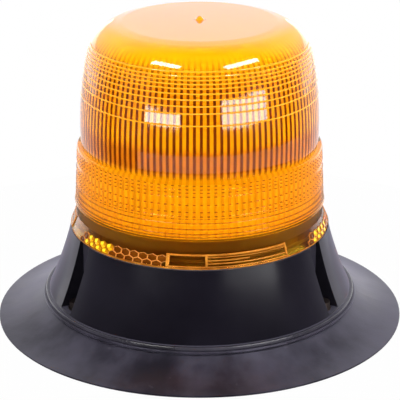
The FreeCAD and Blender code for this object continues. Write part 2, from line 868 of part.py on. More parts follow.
def make_chassis():
    """Steel plate that carries the works, on three rubber mounts in the deck."""
    clear = size("grommet_clearance")
    shank = size("chassis_screw_radius")
    waist = size("grommet_waist_radius")
    flange = size("grommet_flange_radius")
    low = deck_low - size("chassis_height")
    plate = raised("chassis_blank", [(0, 0, chassis_radius)], chassis_low, chassis_top)
    holes = raised(
        "chassis_holes", [(chassis_screw_circle, 0, shank + clear)],
        deck_low, collar_top, FOLD, MOUNT_ANGLE,
    )
    spacing = size("motor_screw_spacing")
    screw = size("motor_screw_radius") + size("seat_clearance")
    centre_holes = raised(
        "chassis_openings",
        [
            (0, 0, size("spindle_radius") + size("seat_clearance")),
            (motor_offset, 0, size("motor_boss_radius") + clear),
            (motor_offset, spacing, screw),
            (motor_offset, -spacing, screw),
        ],
        deck_low, collar_top,
    )
    cut("chassis_plate", plate, holes, centre_holes)
    turned("chassis_grommets", [
        (shank + clear, low),
        (flange, low),
        (flange, deck_low),
        (waist, deck_low),
        (waist, rim),
        (flange, rim),
        (flange, chassis_low),
        (shank + clear, chassis_low),
    ], chassis_screw_circle, FOLD, MOUNT_ANGLE)
    turned(
        "chassis_screws",
        headed_pin(shank, size("chassis_head_radius"), low - size("chassis_nut_height") - 1, chassis_top,
                   chassis_top + size("chassis_head_height")),
        chassis_screw_circle, FOLD, MOUNT_ANGLE,
    )
    turned(
        "chassis_nuts",
        ring(shank + size("seat_clearance"), size("chassis_nut_radius"), low - size("chassis_nut_height"), low),
        chassis_screw_circle, FOLD, MOUNT_ANGLE,
    )


def make_spindle():
    """Hollow steel spindle, staked under the chassis plate, with a groove for its clip."""
    outer = size("spindle_radius")
    bore = size("spindle_bore_radius")
    flange_level = chassis_low - size("spindle_flange_thickness")
    groove = outer - size("clip_groove")
    turned("spindle", [
        (bore, flange_level),
        (size("spindle_flange_radius"), flange_level),
        (size("spindle_flange_radius"), chassis_low),
        (outer, chassis_low),
        (outer, clip_low),
        (groove, clip_low),
        (groove, clip_low + size("clip_thickness") + 0.1),
        (outer, clip_low + size("clip_thickness") + 0.1),
        (outer, spindle_top),
        (bore, spindle_top),
    ])
    turned("thrust_washer", ring(
        outer + size("running_clearance"), size("thrust_radius"), chassis_top, chassis_top + size("thrust_thickness"),
    ))
    clip_ring = turned("clip_ring", ring(
        groove + size("seat_clearance"), size("clip_radius"), clip_low + 0.05, clip_low + 0.05 + size("clip_thickness"),
    ))
    slot = raised("clip_slot", [rectangle(0, size("clip_radius") + 1, -groove * 0.75, groove * 0.75)],
                  chassis_top, spindle_top)
    cut("retaining_clip", clip_ring, slot)


def make_rotor():
    """What turns on the spindle: bush, carrier with its upright, gear, reflector and screws."""
    bush_outer = size("spindle_radius") + size("running_clearance") + size("bush_wall")
    hub_bore = bush_outer + size("seat_clearance")
    hub = hub_bore + size("hub_wall")
    turned("rotor_bush", ring(
        size("spindle_radius") + size("running_clearance"), bush_outer, bush_low, bush_top,
    ))
    disc_top = disc_low + size("carrier_disc_thickness")
    hub_and_disc = turned("carrier_hub", [
        (hub_bore, bush_low + 0.2),
        (hub, bush_low + 0.2),
        (hub, disc_low),
        (size("carrier_disc_radius"), disc_low),
        (size("carrier_disc_radius"), disc_top),
        (hub, disc_top),
        (hub, bush_top),
        (hub_bore, bush_top),
    ])
    half = size("upright_width") / 2
    near = upright_offset
    far = near + size("upright_thickness")
    upright = raised("carrier_upright", [rectangle(-half, half, near, far)],
                     disc_top, upright_top)
    rib = size("rib_thickness")
    ribs = raised(
        "carrier_ribs",
        [
            rectangle(-half, -half + rib, far - 1, far + size("rib_depth")),
            rectangle(half - rib, half, far - 1, far + size("rib_depth")),
        ],
        disc_top - 1, disc_top + size("rib_height"),
    )
    gear_holes = raised(
        "carrier_gear_holes", [(size("gear_screw_circle"), 0, size("gear_screw_radius") + size("seat_clearance"))],
        disc_low - 1, disc_top + 1, FOLD, POCKET_ANGLE,
    )
    carrier = fuse("carrier_solid", hub_and_disc, upright, ribs)
    cut("reflector_carrier", carrier, gear_holes,
        along_y("carrier_boss_holes", size("reflector_screw_radius") + 0.1, near - 1, far + 1))
    make_reflector(near, far)
    tip = disc_top
    turned(
        "gear_screws",
        across(headed_pin(size("gear_screw_radius"), size("gear_head_radius"), -tip, -gear_low,
                          size("gear_head_height") - gear_low)),
        size("gear_screw_circle"), FOLD, POCKET_ANGLE,
    )


def along_y(name, radius, near, far):
    """Two rods along Y at the heights of the reflector's bosses."""
    rods = []
    for index, sign in enumerate((-1, 1)):
        rod = document.addObject("Part::Cylinder", f"{name}_{index}")
        rod.setExpression("Radius", measure(radius).text)
        rod.setExpression("Height", (far - near).text)
        rod.Placement = FreeCAD.Placement(FreeCAD.Vector(), FreeCAD.Rotation(FreeCAD.Vector(1, 0, 0), -90))
        rod.setExpression("Placement.Base.y", measure(near).text)
        rod.setExpression("Placement.Base.z", (focal_height + size("boss_spacing") / 2 * sign).text)
        rods.append(rod)
    return fuse(name, *rods)


def dish_profile(offset):
    """Points of the paraboloid's section behind its focus, moved out by the wall."""
    focal = size("focal_length").number
    edge = math.hypot(reflector_half_width.number, size("reflector_half_height").number)
    edge += size("dish_margin").number
    steps = 16
    points = []
    for step in range(steps + 1):
        reach = edge * step / steps
        slope = reach / (2 * focal)
        stretch = offset / math.hypot(1, slope)
        points.append(FreeCAD.Vector(reach + slope * stretch, focal - reach ** 2 / (4 * focal) + stretch, 0))
    return points


def make_reflector(near, far):
    """Parabolic dish about the lamp, trimmed top and bottom, with two bosses behind for its screws."""
    wall = size("reflector_thickness").number
    inner = Part.BSplineCurve()
    inner.interpolate(dish_profile(0.0))
    outer = Part.BSplineCurve()
    outer.interpolate(dish_profile(wall))
    inside = inner.toShape()
    outside = outer.toShape()
    first = inside.Vertexes[0].Point
    last = inside.Vertexes[-1].Point
    outer_first = outside.Vertexes[0].Point
    outer_last = outside.Vertexes[-1].Point
    wire = Part.Wire([inside, Part.makeLine(last, outer_last), outside, Part.makeLine(outer_first, first)])
    dish_shape = Part.Face(wire).revolve(FreeCAD.Vector(), FreeCAD.Vector(0, 1, 0), 360)
    dish = document.addObject("Part::Feature", "dish")
    dish.Shape = dish_shape
    dish.Placement = FreeCAD.Placement(FreeCAD.Vector(0, 0, focal_height.number), FreeCAD.Rotation())
    width = reflector_half_width
    height = size("reflector_half_height")
    window = raised("dish_window", [rectangle(-width, width, -width, near)],
                    focal_height - height, focal_height + height)
    trimmed = common("dish_trimmed", dish, window)
    start = near - size("reflector_screw_length") - 1
    bosses = along_y("dish_bosses", size("boss_radius"), start, near)
    bowl = document.addObject("Part::Feature", "dish_bowl")
    face = Part.Face(Part.Wire([inside, Part.makeLine(last, FreeCAD.Vector(0, last.y, 0)),
                                Part.makeLine(FreeCAD.Vector(0, last.y, 0), first)]))
    bowl.Shape = face.revolve(FreeCAD.Vector(), FreeCAD.Vector(0, 1, 0), 360)
    bowl.Placement = dish.Placement
    bores = along_y("dish_bores", size("reflector_screw_radius") + size("seat_clearance"),
                    near - size("reflector_screw_length"), near + 1)
    cut("reflector", fuse("dish_solid", trimmed, bosses), bowl, bores)
    shanks = along_y("reflector_shanks", size("reflector_screw_radius"),
                     near - size("reflector_screw_length"), far + 0.1)
    heads = along_y("reflector_heads", size("reflector_head_radius"), far, far + size("reflector_head_height"))
    fuse("reflector_screws", shanks, heads)


def gear_shape(teeth, width, low, bore, backlash, addendum, holes=()):
    """A spur gear with involute flanks, its first tooth on +X."""
    module = size("gear_module").number
    pitch = module * teeth / 2
    base = pitch * math.cos(math.radians(PRESSURE_ANGLE))
    tip = pitch + module * addendum
    root = pitch - module * DEDENDUM

    def involute(radius):
        across_angle = math.acos(min(1.0, base / radius))
        return math.tan(across_angle) - across_angle

    half = math.pi / (2 * teeth) - backlash / (2 * pitch) + involute(pitch)
    start = max(base, root)

    def at(radius, angle):
        return FreeCAD.Vector(radius * math.cos(angle), radius * math.sin(angle), low)

    def flank_point(radius, centre, side):
        return at(radius, centre + side * (half - involute(radius)))

    edges = []
    for tooth in range(int(teeth)):
        centre = 2 * math.pi * tooth / teeth
        low_side = flank_point(start, centre, -1)
        high_side = flank_point(start, centre, 1)
        middle = (start + tip) / 2
        foot_low = at(root, centre - half)
        foot_high = at(root, centre + half)
        next_foot = at(root, centre + 2 * math.pi / teeth - half)
        edges.append(Part.makeLine(foot_low, low_side))
        edges.append(Part.Arc(low_side, flank_point(middle, centre, -1), flank_point(tip, centre, -1)).toShape())
        edges.append(Part.Arc(flank_point(tip, centre, -1), at(tip, centre), flank_point(tip, centre, 1)).toShape())
        edges.append(Part.Arc(flank_point(tip, centre, 1), flank_point(middle, centre, 1), high_side).toShape())
        edges.append(Part.makeLine(high_side, foot_high))
        edges.append(Part.Arc(foot_high, at(root, centre + math.pi / teeth), next_foot).toShape())
    blank = Part.Face(Part.Wire(edges))
    for x, y, radius in ((0, 0, bore), *holes):
        blank = blank.cut(Part.Face(Part.Wire(Part.makeCircle(radius, FreeCAD.Vector(x, y, low)))))
    return blank.extrude(FreeCAD.Vector(0, 0, width))


def make_gears():
    """The gear under the carrier and the pinion on the motor shaft."""
    circle = size("gear_screw_circle").number
    hole = size("gear_screw_radius").number + size("seat_clearance").number
    holes = []
    for copy in range(FOLD):
        angle = math.radians(POCKET_ANGLE + 360 * copy / FOLD)
        holes.append((circle * math.cos(angle), circle * math.sin(angle), hole))
    hub = size("spindle_radius") + size("running_clearance") + size("bush_wall") + size("hub_wall")
    bore = (hub + size("seat_clearance") * 2).number
    gear = document.addObject("Part::Feature", "drive_gear")
    gear.Shape = gear_shape(
        SIZES["gear_teeth"], size("gear_width").number, gear_low.number, bore,
        size("gear_backlash").number, GEAR_ADDENDUM, holes,
    )
    pinion = document.addObject("Part::Feature", "motor_pinion")
    pinion.Shape = gear_shape(
        SIZES["pinion_teeth"], size("pinion_width").number, pinion_low.number,
        size("motor_shaft_radius").number + size("seat_clearance").number,
        size("gear_backlash").number, PINION_ADDENDUM,
    )
    pinion.Placement = FreeCAD.Placement(FreeCAD.Vector(motor_offset.number, 0, 0), FreeCAD.Rotation())


def make_lamp():
    """Halogen lamp standing in its holder on top of the spindle, held by a spring clip."""
    outer = size("holder_radius")
    grip = size("holder_grip")
    seat = lamp_seat
    holder_low = spindle_top - grip
    flange_top = lamp_flange_top
    base_low = seat - size("lamp_base_length")
    clear = size("seat_clearance")
    turned("lamp_holder", [
        (size("spindle_radius") + clear, holder_low),
        (outer, holder_low),
        (outer, seat),
        (size("lamp_base_radius") + clear, seat),
        (size("lamp_base_radius") + clear, spindle_top),
        (size("spindle_radius") + clear, spindle_top),
    ])
    turned("lamp_base", [
        (0, base_low),
        (size("lamp_base_radius"), base_low),
        (size("lamp_base_radius"), seat),
        (size("lamp_flange_radius"), seat),
        (size("lamp_flange_radius"), flange_top),
        (0, flange_top),
    ])
    glass = size("glass_radius")
    bore = glass - size("glass_wall")
    glass_top = flange_top + size("glass_height")
    turned("lamp_glass", [
        (bore, flange_top),
        (glass, flange_top),
        (glass, glass_top - glass, glass),
        (0, glass_top),
        (0, glass_top - size("glass_wall"), -bore),
        (bore, glass_top - size("glass_wall") - bore),
    ])
    coil_low = focal_height - size("filament_length") / 2
    coil_top = focal_height + size("filament_length") / 2
    post = size("post_radius")
    offset = size("post_offset")
    coil = raised("filament_coil", [(0, 0, size("filament_radius"))], coil_low, coil_top)
    low_post = raised("filament_low_post", [(-offset, 0, post)], flange_top, coil_low + post * 2)
    high_post = raised("filament_high_post", [(offset, 0, post)], flange_top, coil_top)
    low_arm = raised("filament_low_arm", [rectangle(-offset, measure(0), -post, post)], coil_low, coil_low + post * 2)
    high_arm = raised("filament_high_arm", [rectangle(measure(0), offset, -post, post)], coil_top - post * 2, coil_top)
    fuse("lamp_filament", coil, low_post, high_post, low_arm, high_arm)
    wire = size("clip_wire")
    ring_part = turned("spring_ring", ring(glass + 0.6, outer + wire, flange_top, flange_top + wire))
    legs = raised(
        "spring_legs",
        [
            rectangle(outer + 0.05, outer + 0.05 + wire, -wire * 2, wire * 2),
            rectangle(-outer - 0.05 - wire, -outer - 0.05, -wire * 2, wire * 2),
        ],
        holder_low + 1, flange_top + wire,
    )
    fuse("lamp_clip", ring_part, legs)


def make_motor():
    """Small permanent magnet motor hung under the chassis plate."""
    outer = size("motor_radius")
    inner = outer - size("motor_wall")
    low = motor_low
    cap = size("motor_cap_thickness")
    shaft = size("motor_shaft_radius")
    bearing = shaft + size("motor_clearance")
    wall = size("motor_wall")
    spigot = low + size("motor_spigot_depth")
    screw = size("motor_screw_radius") + size("seat_clearance")
    spacing = size("motor_screw_spacing")
    clear = size("seat_clearance")
    can = turned("motor_can_blank", [
        (inner, low),
        (outer, low),
        (outer, chassis_low),
        (size("motor_boss_radius"), chassis_low),
        (size("motor_boss_radius"), chassis_low + size("motor_boss_height")),
        (bearing, chassis_low + size("motor_boss_height")),
        (bearing, chassis_low - wall * 2),
        (inner, chassis_low - wall * 2),
    ], motor_offset)
    can_holes = raised(
        "motor_can_holes", [(motor_offset, spacing, screw), (motor_offset, -spacing, screw)],
        chassis_low - wall * 3, chassis_top,
    )
    cut("motor_can", can, can_holes)
    turned("motor_end_cap", [
        (0, low - cap),
        (outer, low - cap),
        (outer, low),
        (inner - clear, low),
        (inner - clear, spigot),
        (bearing, spigot),
        (bearing, low - cap / 2),
        (0, low - cap / 2),
    ], motor_offset)
    iron_low = low + size("armature_lift")
    iron_top = iron_low + size("armature_length")
    core = size("armature_radius")
    turned("motor_armature", ring(shaft + clear, core, iron_low, iron_top), motor_offset)
    turned("motor_shaft", ring(0, shaft, low - cap / 2 + 0.2, shaft_top), motor_offset)
    arcs = []
    for side in (-1, 1):
        arc = raised(
            f"motor_magnet_{side + 1}",
            [sector(core + size("magnet_air_gap"), inner - clear, measure(MAGNET_ANGLE * side), measure(MAGNET_SPAN))],
            iron_low, iron_top,
        )
        arc.setExpression("Placement.Base.x", motor_offset.text)
        arcs.append(arc)
    fuse("motor_magnets", *arcs)
    tip = chassis_low - wall * 2
    head = size("motor_head_radius")
    screws = []
    for side in (-1, 1):
        one = turned(
            f"motor_screw_{side + 1}",
            headed_pin(size("motor_screw_radius"), head, tip, chassis_top, chassis_top + size("motor_head_height")),
            motor_offset,
        )
        one.setExpression("Placement.Base.y", (spacing * side).text)
        screws.append(one)
    fuse("motor_screws", *screws)
    tabs_top = low - cap
    half = size("tab_width") / 2
    thin = size("tab_thickness") / 2
    spread = size("lead_spacing") / 2
    raised(
        "motor_tabs",
        [
            rectangle(motor_offset - thin, motor_offset + thin, spread - half, spread + half),
            rectangle(motor_offset - thin, motor_offset + thin, -spread - half, -spread + half),
        ],
        tabs_top - size("tab_length"), tabs_top,
    )


def lead_shape(points, bend, radius):
    """A round wire along straight runs joined by arcs."""
    edges = []
    start = points[0]
    for corner, following in zip(points[1:-1], points[2:]):
        before = (start - corner).normalize()
        after = (following - corner).normalize()
        setback = bend / math.tan(before.getAngle(after) / 2)
        entry = corner + before * setback
        leave = corner + after * setback
        inward = (before + after).normalize()
        centre = corner + inward * (bend / math.sin(before.getAngle(after) / 2))
        middle = centre - inward * bend
        edges.append(Part.makeLine(start, entry))
        edges.append(Part.Arc(entry, middle, leave).toShape())
        start = leave
    edges.append(Part.makeLine(start, points[-1]))
    path = Part.Wire(edges)
    section = Part.Wire(Part.makeCircle(radius, points[0], points[1] - points[0]))
    return path.makePipeShell([section], True, False)


def make_wiring():
    """Terminal block under the deck, its screws, and the leads to the lamp and the motor."""
    offset = size("block_offset")
    half_width = size("block_width") / 2
    half_length = size("block_length") / 2
    block_low = deck_low - size("block_height")
    block = raised(
        "block_body", [rectangle(-offset - half_width, -offset + half_width, -half_length, half_length)],
        block_low, deck_low,
    )
    peg = raised("block_peg", [(-offset, 0, size("block_peg_radius") - size("seat_clearance"))], deck_low - 1, rim)
    fuse("terminal_block", block, peg)
    pitch = size("block_screw_spacing") / 2
    heads = [(-offset + pitch * x, pitch * y, size("block_screw_radius")) for x in (-1, 1) for y in (-1, 1)]
    raised("terminal_screws", heads, block_low - size("block_screw_height"), block_low)
    radius = size("lead_radius").number
    bend = size("lead_bend").number
    lead = document.addObject("Part::Feature", "lamp_lead")
    seat = (lamp_seat - size("lamp_base_length")).number
    level = (block_low + size("block_height") / 2).number
    near = (-offset + half_width).number
    lead.Shape = lead_shape(
        [FreeCAD.Vector(0, 0, seat), FreeCAD.Vector(0, 0, level), FreeCAD.Vector(near, 0, level)], bend, radius,
    )
    drop = (tabs_low + 1).number
    start = (motor_offset - size("tab_thickness") / 2).number
    spread = (size("lead_spacing") / 2).number
    pair = []
    for side in (-1, 1):
        row = spread * side
        points = [
            FreeCAD.Vector(start, row, drop),
            FreeCAD.Vector(-offset.number, row, drop),
            FreeCAD.Vector(-offset.number, row, block_low.number),
        ]
        pair.append(lead_shape(points, bend, radius))
    leads = document.addObject("Part::Feature", "motor_leads")
    leads.Shape = Part.makeCompound(pair)


# Levels and places of the works
motor_offset = size("gear_module") * (size("gear_teeth") + size("pinion_teeth")) / 2
bush_low = chassis_top + size("thrust_thickness") + size("end_play")
bush_top = bush_low + size("bush_length")
clip_low = bush_top + size("end_play")
disc_low = chassis_top + size("carrier_disc_lift")
gear_low = disc_low - size("gear_width")
pinion_low = disc_low - size("pinion_drop") - size("pinion_width")
shaft_top = disc_low - size("pinion_drop") / 2

make_boot()
make_magnet()
make_base_plate()
make_housing()
make_cable_grommet()
make_housing_screws()
make_lens()
make_lens_seal()
make_chassis()
make_spindle()
make_gears()
make_rotor()
make_lamp()
make_motor()
make_wiring()

NODES = (
    "rubber_boot", "magnet_pad", "magnet_cup", "ring_magnet", "magnet_bolt", "magnet_nut",
    "base_plate", "base_nuts", "housing", "cable_grommet", "housing_screws", "screw_washers",
    "lens", "lens_seal", "chassis_plate", "chassis_grommets", "chassis_screws", "chassis_nuts",
    "spindle", "thrust_washer", "retaining_clip", "rotor_bush", "reflector_carrier", "gear_screws",
    "drive_gear", "motor_pinion", "reflector", "reflector_screws", "lamp_holder", "lamp_base",
    "lamp_glass", "lamp_filament", "lamp_clip", "motor_can", "motor_end_cap", "motor_armature",
    "motor_shaft", "motor_magnets", "motor_screws", "motor_tabs", "terminal_block",
    "terminal_screws", "lamp_lead", "motor_leads",
)

document.recompute()
for item in document.Objects:
    if "Invalid" in item.State or "Error" in item.State:
        raise RuntimeError(f"{item.Label} failed: {item.State}")
for name in NODES:
    shape = document.getObject(name).Shape
    if shape.isNull() or not shape.isValid() or not shape.Solids:
        raise RuntimeError(f"{name} has no sound solid")

os.makedirs("parts", exist_ok=True)
for name in NODES:
    document.getObject(name).Shape.exportStep(f"parts/{name}.step")
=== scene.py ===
import json
import math
import bpy
import numpy as np
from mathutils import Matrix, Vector


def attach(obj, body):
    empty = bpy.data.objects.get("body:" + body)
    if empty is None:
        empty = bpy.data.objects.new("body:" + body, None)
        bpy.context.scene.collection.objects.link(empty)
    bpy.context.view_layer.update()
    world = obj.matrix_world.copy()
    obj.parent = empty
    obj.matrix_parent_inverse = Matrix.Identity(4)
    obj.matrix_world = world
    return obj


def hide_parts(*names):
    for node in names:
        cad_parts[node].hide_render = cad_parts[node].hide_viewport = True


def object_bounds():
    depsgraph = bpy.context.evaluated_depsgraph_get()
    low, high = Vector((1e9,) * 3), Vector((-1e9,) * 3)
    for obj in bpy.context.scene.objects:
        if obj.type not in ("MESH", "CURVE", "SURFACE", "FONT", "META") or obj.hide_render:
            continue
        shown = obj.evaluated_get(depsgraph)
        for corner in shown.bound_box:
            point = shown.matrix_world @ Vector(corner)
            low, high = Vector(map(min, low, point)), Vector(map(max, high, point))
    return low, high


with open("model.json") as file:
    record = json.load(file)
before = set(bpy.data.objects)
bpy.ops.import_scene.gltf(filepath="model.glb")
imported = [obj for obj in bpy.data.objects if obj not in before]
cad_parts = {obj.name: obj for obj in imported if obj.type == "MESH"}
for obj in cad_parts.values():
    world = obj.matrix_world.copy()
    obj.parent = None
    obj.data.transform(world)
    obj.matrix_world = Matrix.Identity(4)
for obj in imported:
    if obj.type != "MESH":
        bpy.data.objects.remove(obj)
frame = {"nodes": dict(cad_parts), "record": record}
cad_low, cad_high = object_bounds()
nodes = frame["nodes"]

MM = 0.001

# Edges sharper than this many degrees are shaded sharp
PIECE_SMOOTH = 35.0
LENS_SMOOTH = 19.0
RIM_SMOOTH = 20.0
FACET_SMOOTH = 5.0

# Camera, from the fitted outlines of the photograph (a 400 pixel frame)
FRAME_PIXELS = 400
FOCAL_PIXELS = 1729.0
CAMERA_DISTANCE = 807.5 * MM
CAMERA_ELEVATION = math.radians(20.7)
AIM_HEIGHT = 54.6 * MM
AXIS_PIXEL = 199.6
SENSOR_MM = 36.0
CLIP_START = 0.01
CLIP_END = 20.0

# The lens, in millimetres above the ground and from the axis, as in the frame
LENS_LOW = 44.5
SKIRT_TOP = 56.9
DRUM_TOP = 83.9
STEP_TOP = 86.1
SHOULDER_LOW = 128.4
CROWN_LOW = 140.75
CROWN_TOP = 141.2
GATE_TOP = 143.0
WALL = 2.4
FOOT_RADIUS = 60.0
FOOT_BORE = 55.8
FOOT_EDGE = 0.3
SKIRT_RADIUS = 57.3
DRUM_RADIUS = 57.7
DRUM_TOP_RADIUS = 56.4
BODY_RADIUS = 54.7
SHOULDER_RADIUS = 50.45
CROWN_RADIUS = 35.8
GATE_RADIUS = 2.1
BODY_CURVE = 150.0
SHOULDER_CURVE = 19.25
CROWN_CURVE = 1400.0
CREASE = 3.4

# The flutes inside the lens, and how deep the painted shade in the gaps between them is at a height, from 0
# to 1
FLUTES = 112
FLUTE_SAMPLES = 8
FLUTE_DEPTH = 0.75
FLUTE_OFFSET = 2
LENS_COLUMNS = FLUTES * FLUTE_SAMPLES
GAP_LOW = 40.0
GAP_HIGH = 145.0
GAP_PAINTED_SHADE_DEPTHS = (
    (56.0, 0.04), (66.0, 0.08), (68.0, 0.28), (80.0, 0.24), (83.0, 0.30), (85.0, 0.80), (86.5, 1.0),
    (122.0, 1.0), (128.0, 0.75), (132.0, 0.35), (135.0, 0.0),
)

# Heights of the ledges on the drum and of the ring beads on the body, and their sizes
DRUM_RINGS = (58.4, 59.8, 62.05, 64.8, 66.8, 67.9, 69.9, 73.1, 76.9, 78.7, 80.2, 81.9)
BODY_RINGS = (108.5, 113.8, 116.9, 119.7, 122.2, 124.4, 126.2, 127.9, 129.5, 131.3)
LEDGE_DEPTH = 0.62
LEDGE_SHARE = 0.26
LEDGE_RISE = 0.22
LEDGE_LIP = 0.05
LEDGE_CURVE = 1.4
BEAD_HALF = 0.42
BEAD_HEIGHT = 0.24
BEAD_PROFILE = ((-1.0, 0.0), (-0.5, 0.8), (0.0, 1.0), (0.5, 0.8), (1.0, 0.0))


def arc_points(start, end, radius, steps):
    """Points on the arc between two (radius, height) points; it turns left, or right at a negative radius."""
    a = np.array(start, float)
    b = np.array(end, float)
    chord = b - a
    length = np.hypot(*chord)
    left = np.array([-chord[1], chord[0]]) / length
    rise = math.sqrt(radius ** 2 - (length / 2) ** 2)
    centre = (a + b) / 2 + left * (rise if radius > 0 else -rise)
    first = math.atan2(*(a - centre)[::-1])
    last = math.atan2(*(b - centre)[::-1])
    if radius > 0 and last < first:
        last += 2 * math.pi
    if radius < 0 and last > first:
        last -= 2 * math.pi
    angles = np.linspace(first, last, steps + 1)
    return np.column_stack([
        centre[0] + abs(radius) * np.cos(angles),
        centre[1] + abs(radius) * np.sin(angles),
    ])


def new_object(name, vertices, faces, smooth_angle):
    """A mesh object in metres from millimetre vertices."""
    mesh = bpy.data.meshes.new(name)
    mesh.from_pydata((np.asarray(vertices) * MM).tolist(), [], faces)
    mesh.update()
    mesh.polygons.foreach_set("use_smooth", [True] * len(mesh.polygons))
    mesh.set_sharp_from_angle(angle=math.radians(smooth_angle))
    obj = bpy.data.objects.new(name, mesh)
    bpy.context.scene.collection.objects.link(obj)
    return obj


def joined(name, shapes, smooth_angle=PIECE_SMOOTH):
    """One object from several (vertices, faces) shapes."""
    vertices, faces = [], []
    for more_vertices, more_faces in shapes:
        start = len(vertices)
        vertices += list(more_vertices)
        faces += [tuple(index + start for index in face) for face in more_faces]
    return new_object(name, vertices, faces, smooth_angle)


def lathe(rows, columns, closed_rows=False):
    """Vertices and faces of a turned skin: rows is a list of arrays (columns, 2) of radius and height."""
    rows = np.asarray(rows, float)
    count = len(rows)
    angles = 2 * math.pi * np.arange(columns) / columns
    vertices = np.empty((count, columns, 3))
    vertices[:, :, 0] = rows[:, :, 0] * np.cos(angles)
    vertices[:, :, 1] = rows[:, :, 0] * np.sin(angles)
    vertices[:, :, 2] = rows[:, :, 1]
    last = count if closed_rows else count - 1
    i, j = np.meshgrid(np.arange(last), np.arange(columns), indexing="ij")
    ni = (i + 1) % count
    nj = (j + 1) % columns
    faces = np.stack([i * columns + j, i * columns + nj, ni * columns + nj, ni * columns + j], axis=-1)
    return vertices.reshape(-1, 3), faces.reshape(-1, 4)


# The lens's outline in curves
BODY_ARC = arc_points((BODY_RADIUS, STEP_TOP), (SHOULDER_RADIUS, SHOULDER_LOW), BODY_CURVE, 64)
SHOULDER_ARC = arc_points((SHOULDER_RADIUS, SHOULDER_LOW), (CROWN_RADIUS, CROWN_LOW), SHOULDER_CURVE, 64)
WALL_ARC = np.vstack([BODY_ARC, SHOULDER_ARC[1:]])
FLARE = np.linspace((FOOT_RADIUS - 0.05, LENS_LOW + 1.0), (SKIRT_RADIUS, LENS_LOW + 7.0), 18)


def body_radius(height):
    return float(np.interp(height, WALL_ARC[:, 1], WALL_ARC[:, 0]))


def drum_radius(height):
    share = (height - SKIRT_TOP) / (DRUM_TOP - SKIRT_TOP)
    return DRUM_RADIUS + (DRUM_TOP_RADIUS - DRUM_RADIUS) * share


def skirt_radius(height):
    """Outer radius of the lens skirt and its flared foot."""
    return float(np.interp(height, FLARE[:, 1], FLARE[:, 0]))


def flute_share(height):
    """How deep the flutes are at a height, from 0 to 1."""
    drum = np.interp(height, [SKIRT_TOP + 0.8, SKIRT_TOP + 2.0, DRUM_TOP - 3.6, DRUM_TOP - 2.4], [0, 1, 1, 0])
    body = np.interp(height, [DRUM_TOP - 0.2, STEP_TOP + 0.6, SHOULDER_LOW, SHOULDER_LOW + 8], [0, 1, 0.9, 0])
    return float(max(drum, body))


def ledged(low, high, rings, radius_at):
    """Outline of a band of fine prism ledges that face up."""
    points = [(radius_at(low), low)]
    for ring, following in zip(rings, (*rings[1:], high)):
        depth = min(LEDGE_DEPTH, (following - ring) * LEDGE_SHARE)
        points.append((radius_at(ring) + LEDGE_LIP, ring))
        points.append((radius_at(ring) - depth * 0.55, ring + LEDGE_RISE * 0.4))
        points.append((radius_at(ring) - depth, ring + LEDGE_RISE * 1.6))
        for level in (ring + LEDGE_RISE * 2.4, (ring + following * 2) / 3, (ring + following * 9) / 10):
            share = (level - ring) / (following - ring)
            points.append((radius_at(level) - depth * (1 - share) ** LEDGE_CURVE, level))
    return points


def beaded(low, high, rings, radius_at):
    """Outline of a smooth band with a fine raised bead at each ring."""
    points = [(radius_at(low), low)]
    for ring, following in zip(rings, (*rings[1:], high)):
        for offset, rise in BEAD_PROFILE:
            level = ring + offset * BEAD_HALF
            points.append((radius_at(level) + rise * BEAD_HEIGHT, level))
        middle = (ring + following) / 2
        points.append((radius_at(middle), middle))
    return points


def foot_outline():
    """The foot, its flare and the skirt, up to the step under the drum."""
    points = [
        (FOOT_BORE, LENS_LOW),
        (FOOT_RADIUS - FOOT_EDGE, LENS_LOW),
        (FOOT_RADIUS, LENS_LOW + FOOT_EDGE),
        (FOOT_RADIUS, LENS_LOW + 0.8),
    ]
    points += [tuple(point) for point in FLARE]
    points += [(SKIRT_RADIUS, level) for level in np.linspace(LENS_LOW + 8.3, SKIRT_TOP - 0.2, 6)]
    points += [
        (SKIRT_RADIUS, SKIRT_TOP),
        (DRUM_RADIUS + 0.2, SKIRT_TOP + 0.05),
        (DRUM_RADIUS + 0.35, SKIRT_TOP + 0.3),
    ]
    return points


def drum_outline():
    """The ledged drum and the rounded step above it."""
    points = ledged(SKIRT_TOP + 1.0, DRUM_TOP - 0.9, DRUM_RINGS, drum_radius)
    points += [
        (DRUM_TOP_RADIUS - 0.05, DRUM_TOP - 0.8),
        (DRUM_TOP_RADIUS - 0.35, DRUM_TOP - 0.25),
        (DRUM_TOP_RADIUS - 0.9, DRUM_TOP),
        (BODY_RADIUS - 0.5, DRUM_TOP + 0.15),
        (BODY_RADIUS - 0.45, DRUM_TOP + 0.8),
        (BODY_RADIUS - 0.1, DRUM_TOP + 1.6),
    ]
    return points


def body_outline():
    """The smooth lower body and the beaded band above it."""
    points = [(body_radius(level), level) for level in np.linspace(STEP_TOP, BODY_RINGS[0] - 1, 14)]
    points += beaded(BODY_RINGS[0] - 0.5, BODY_RINGS[-1] + 1.0, BODY_RINGS, body_radius)[:-1]
    return points


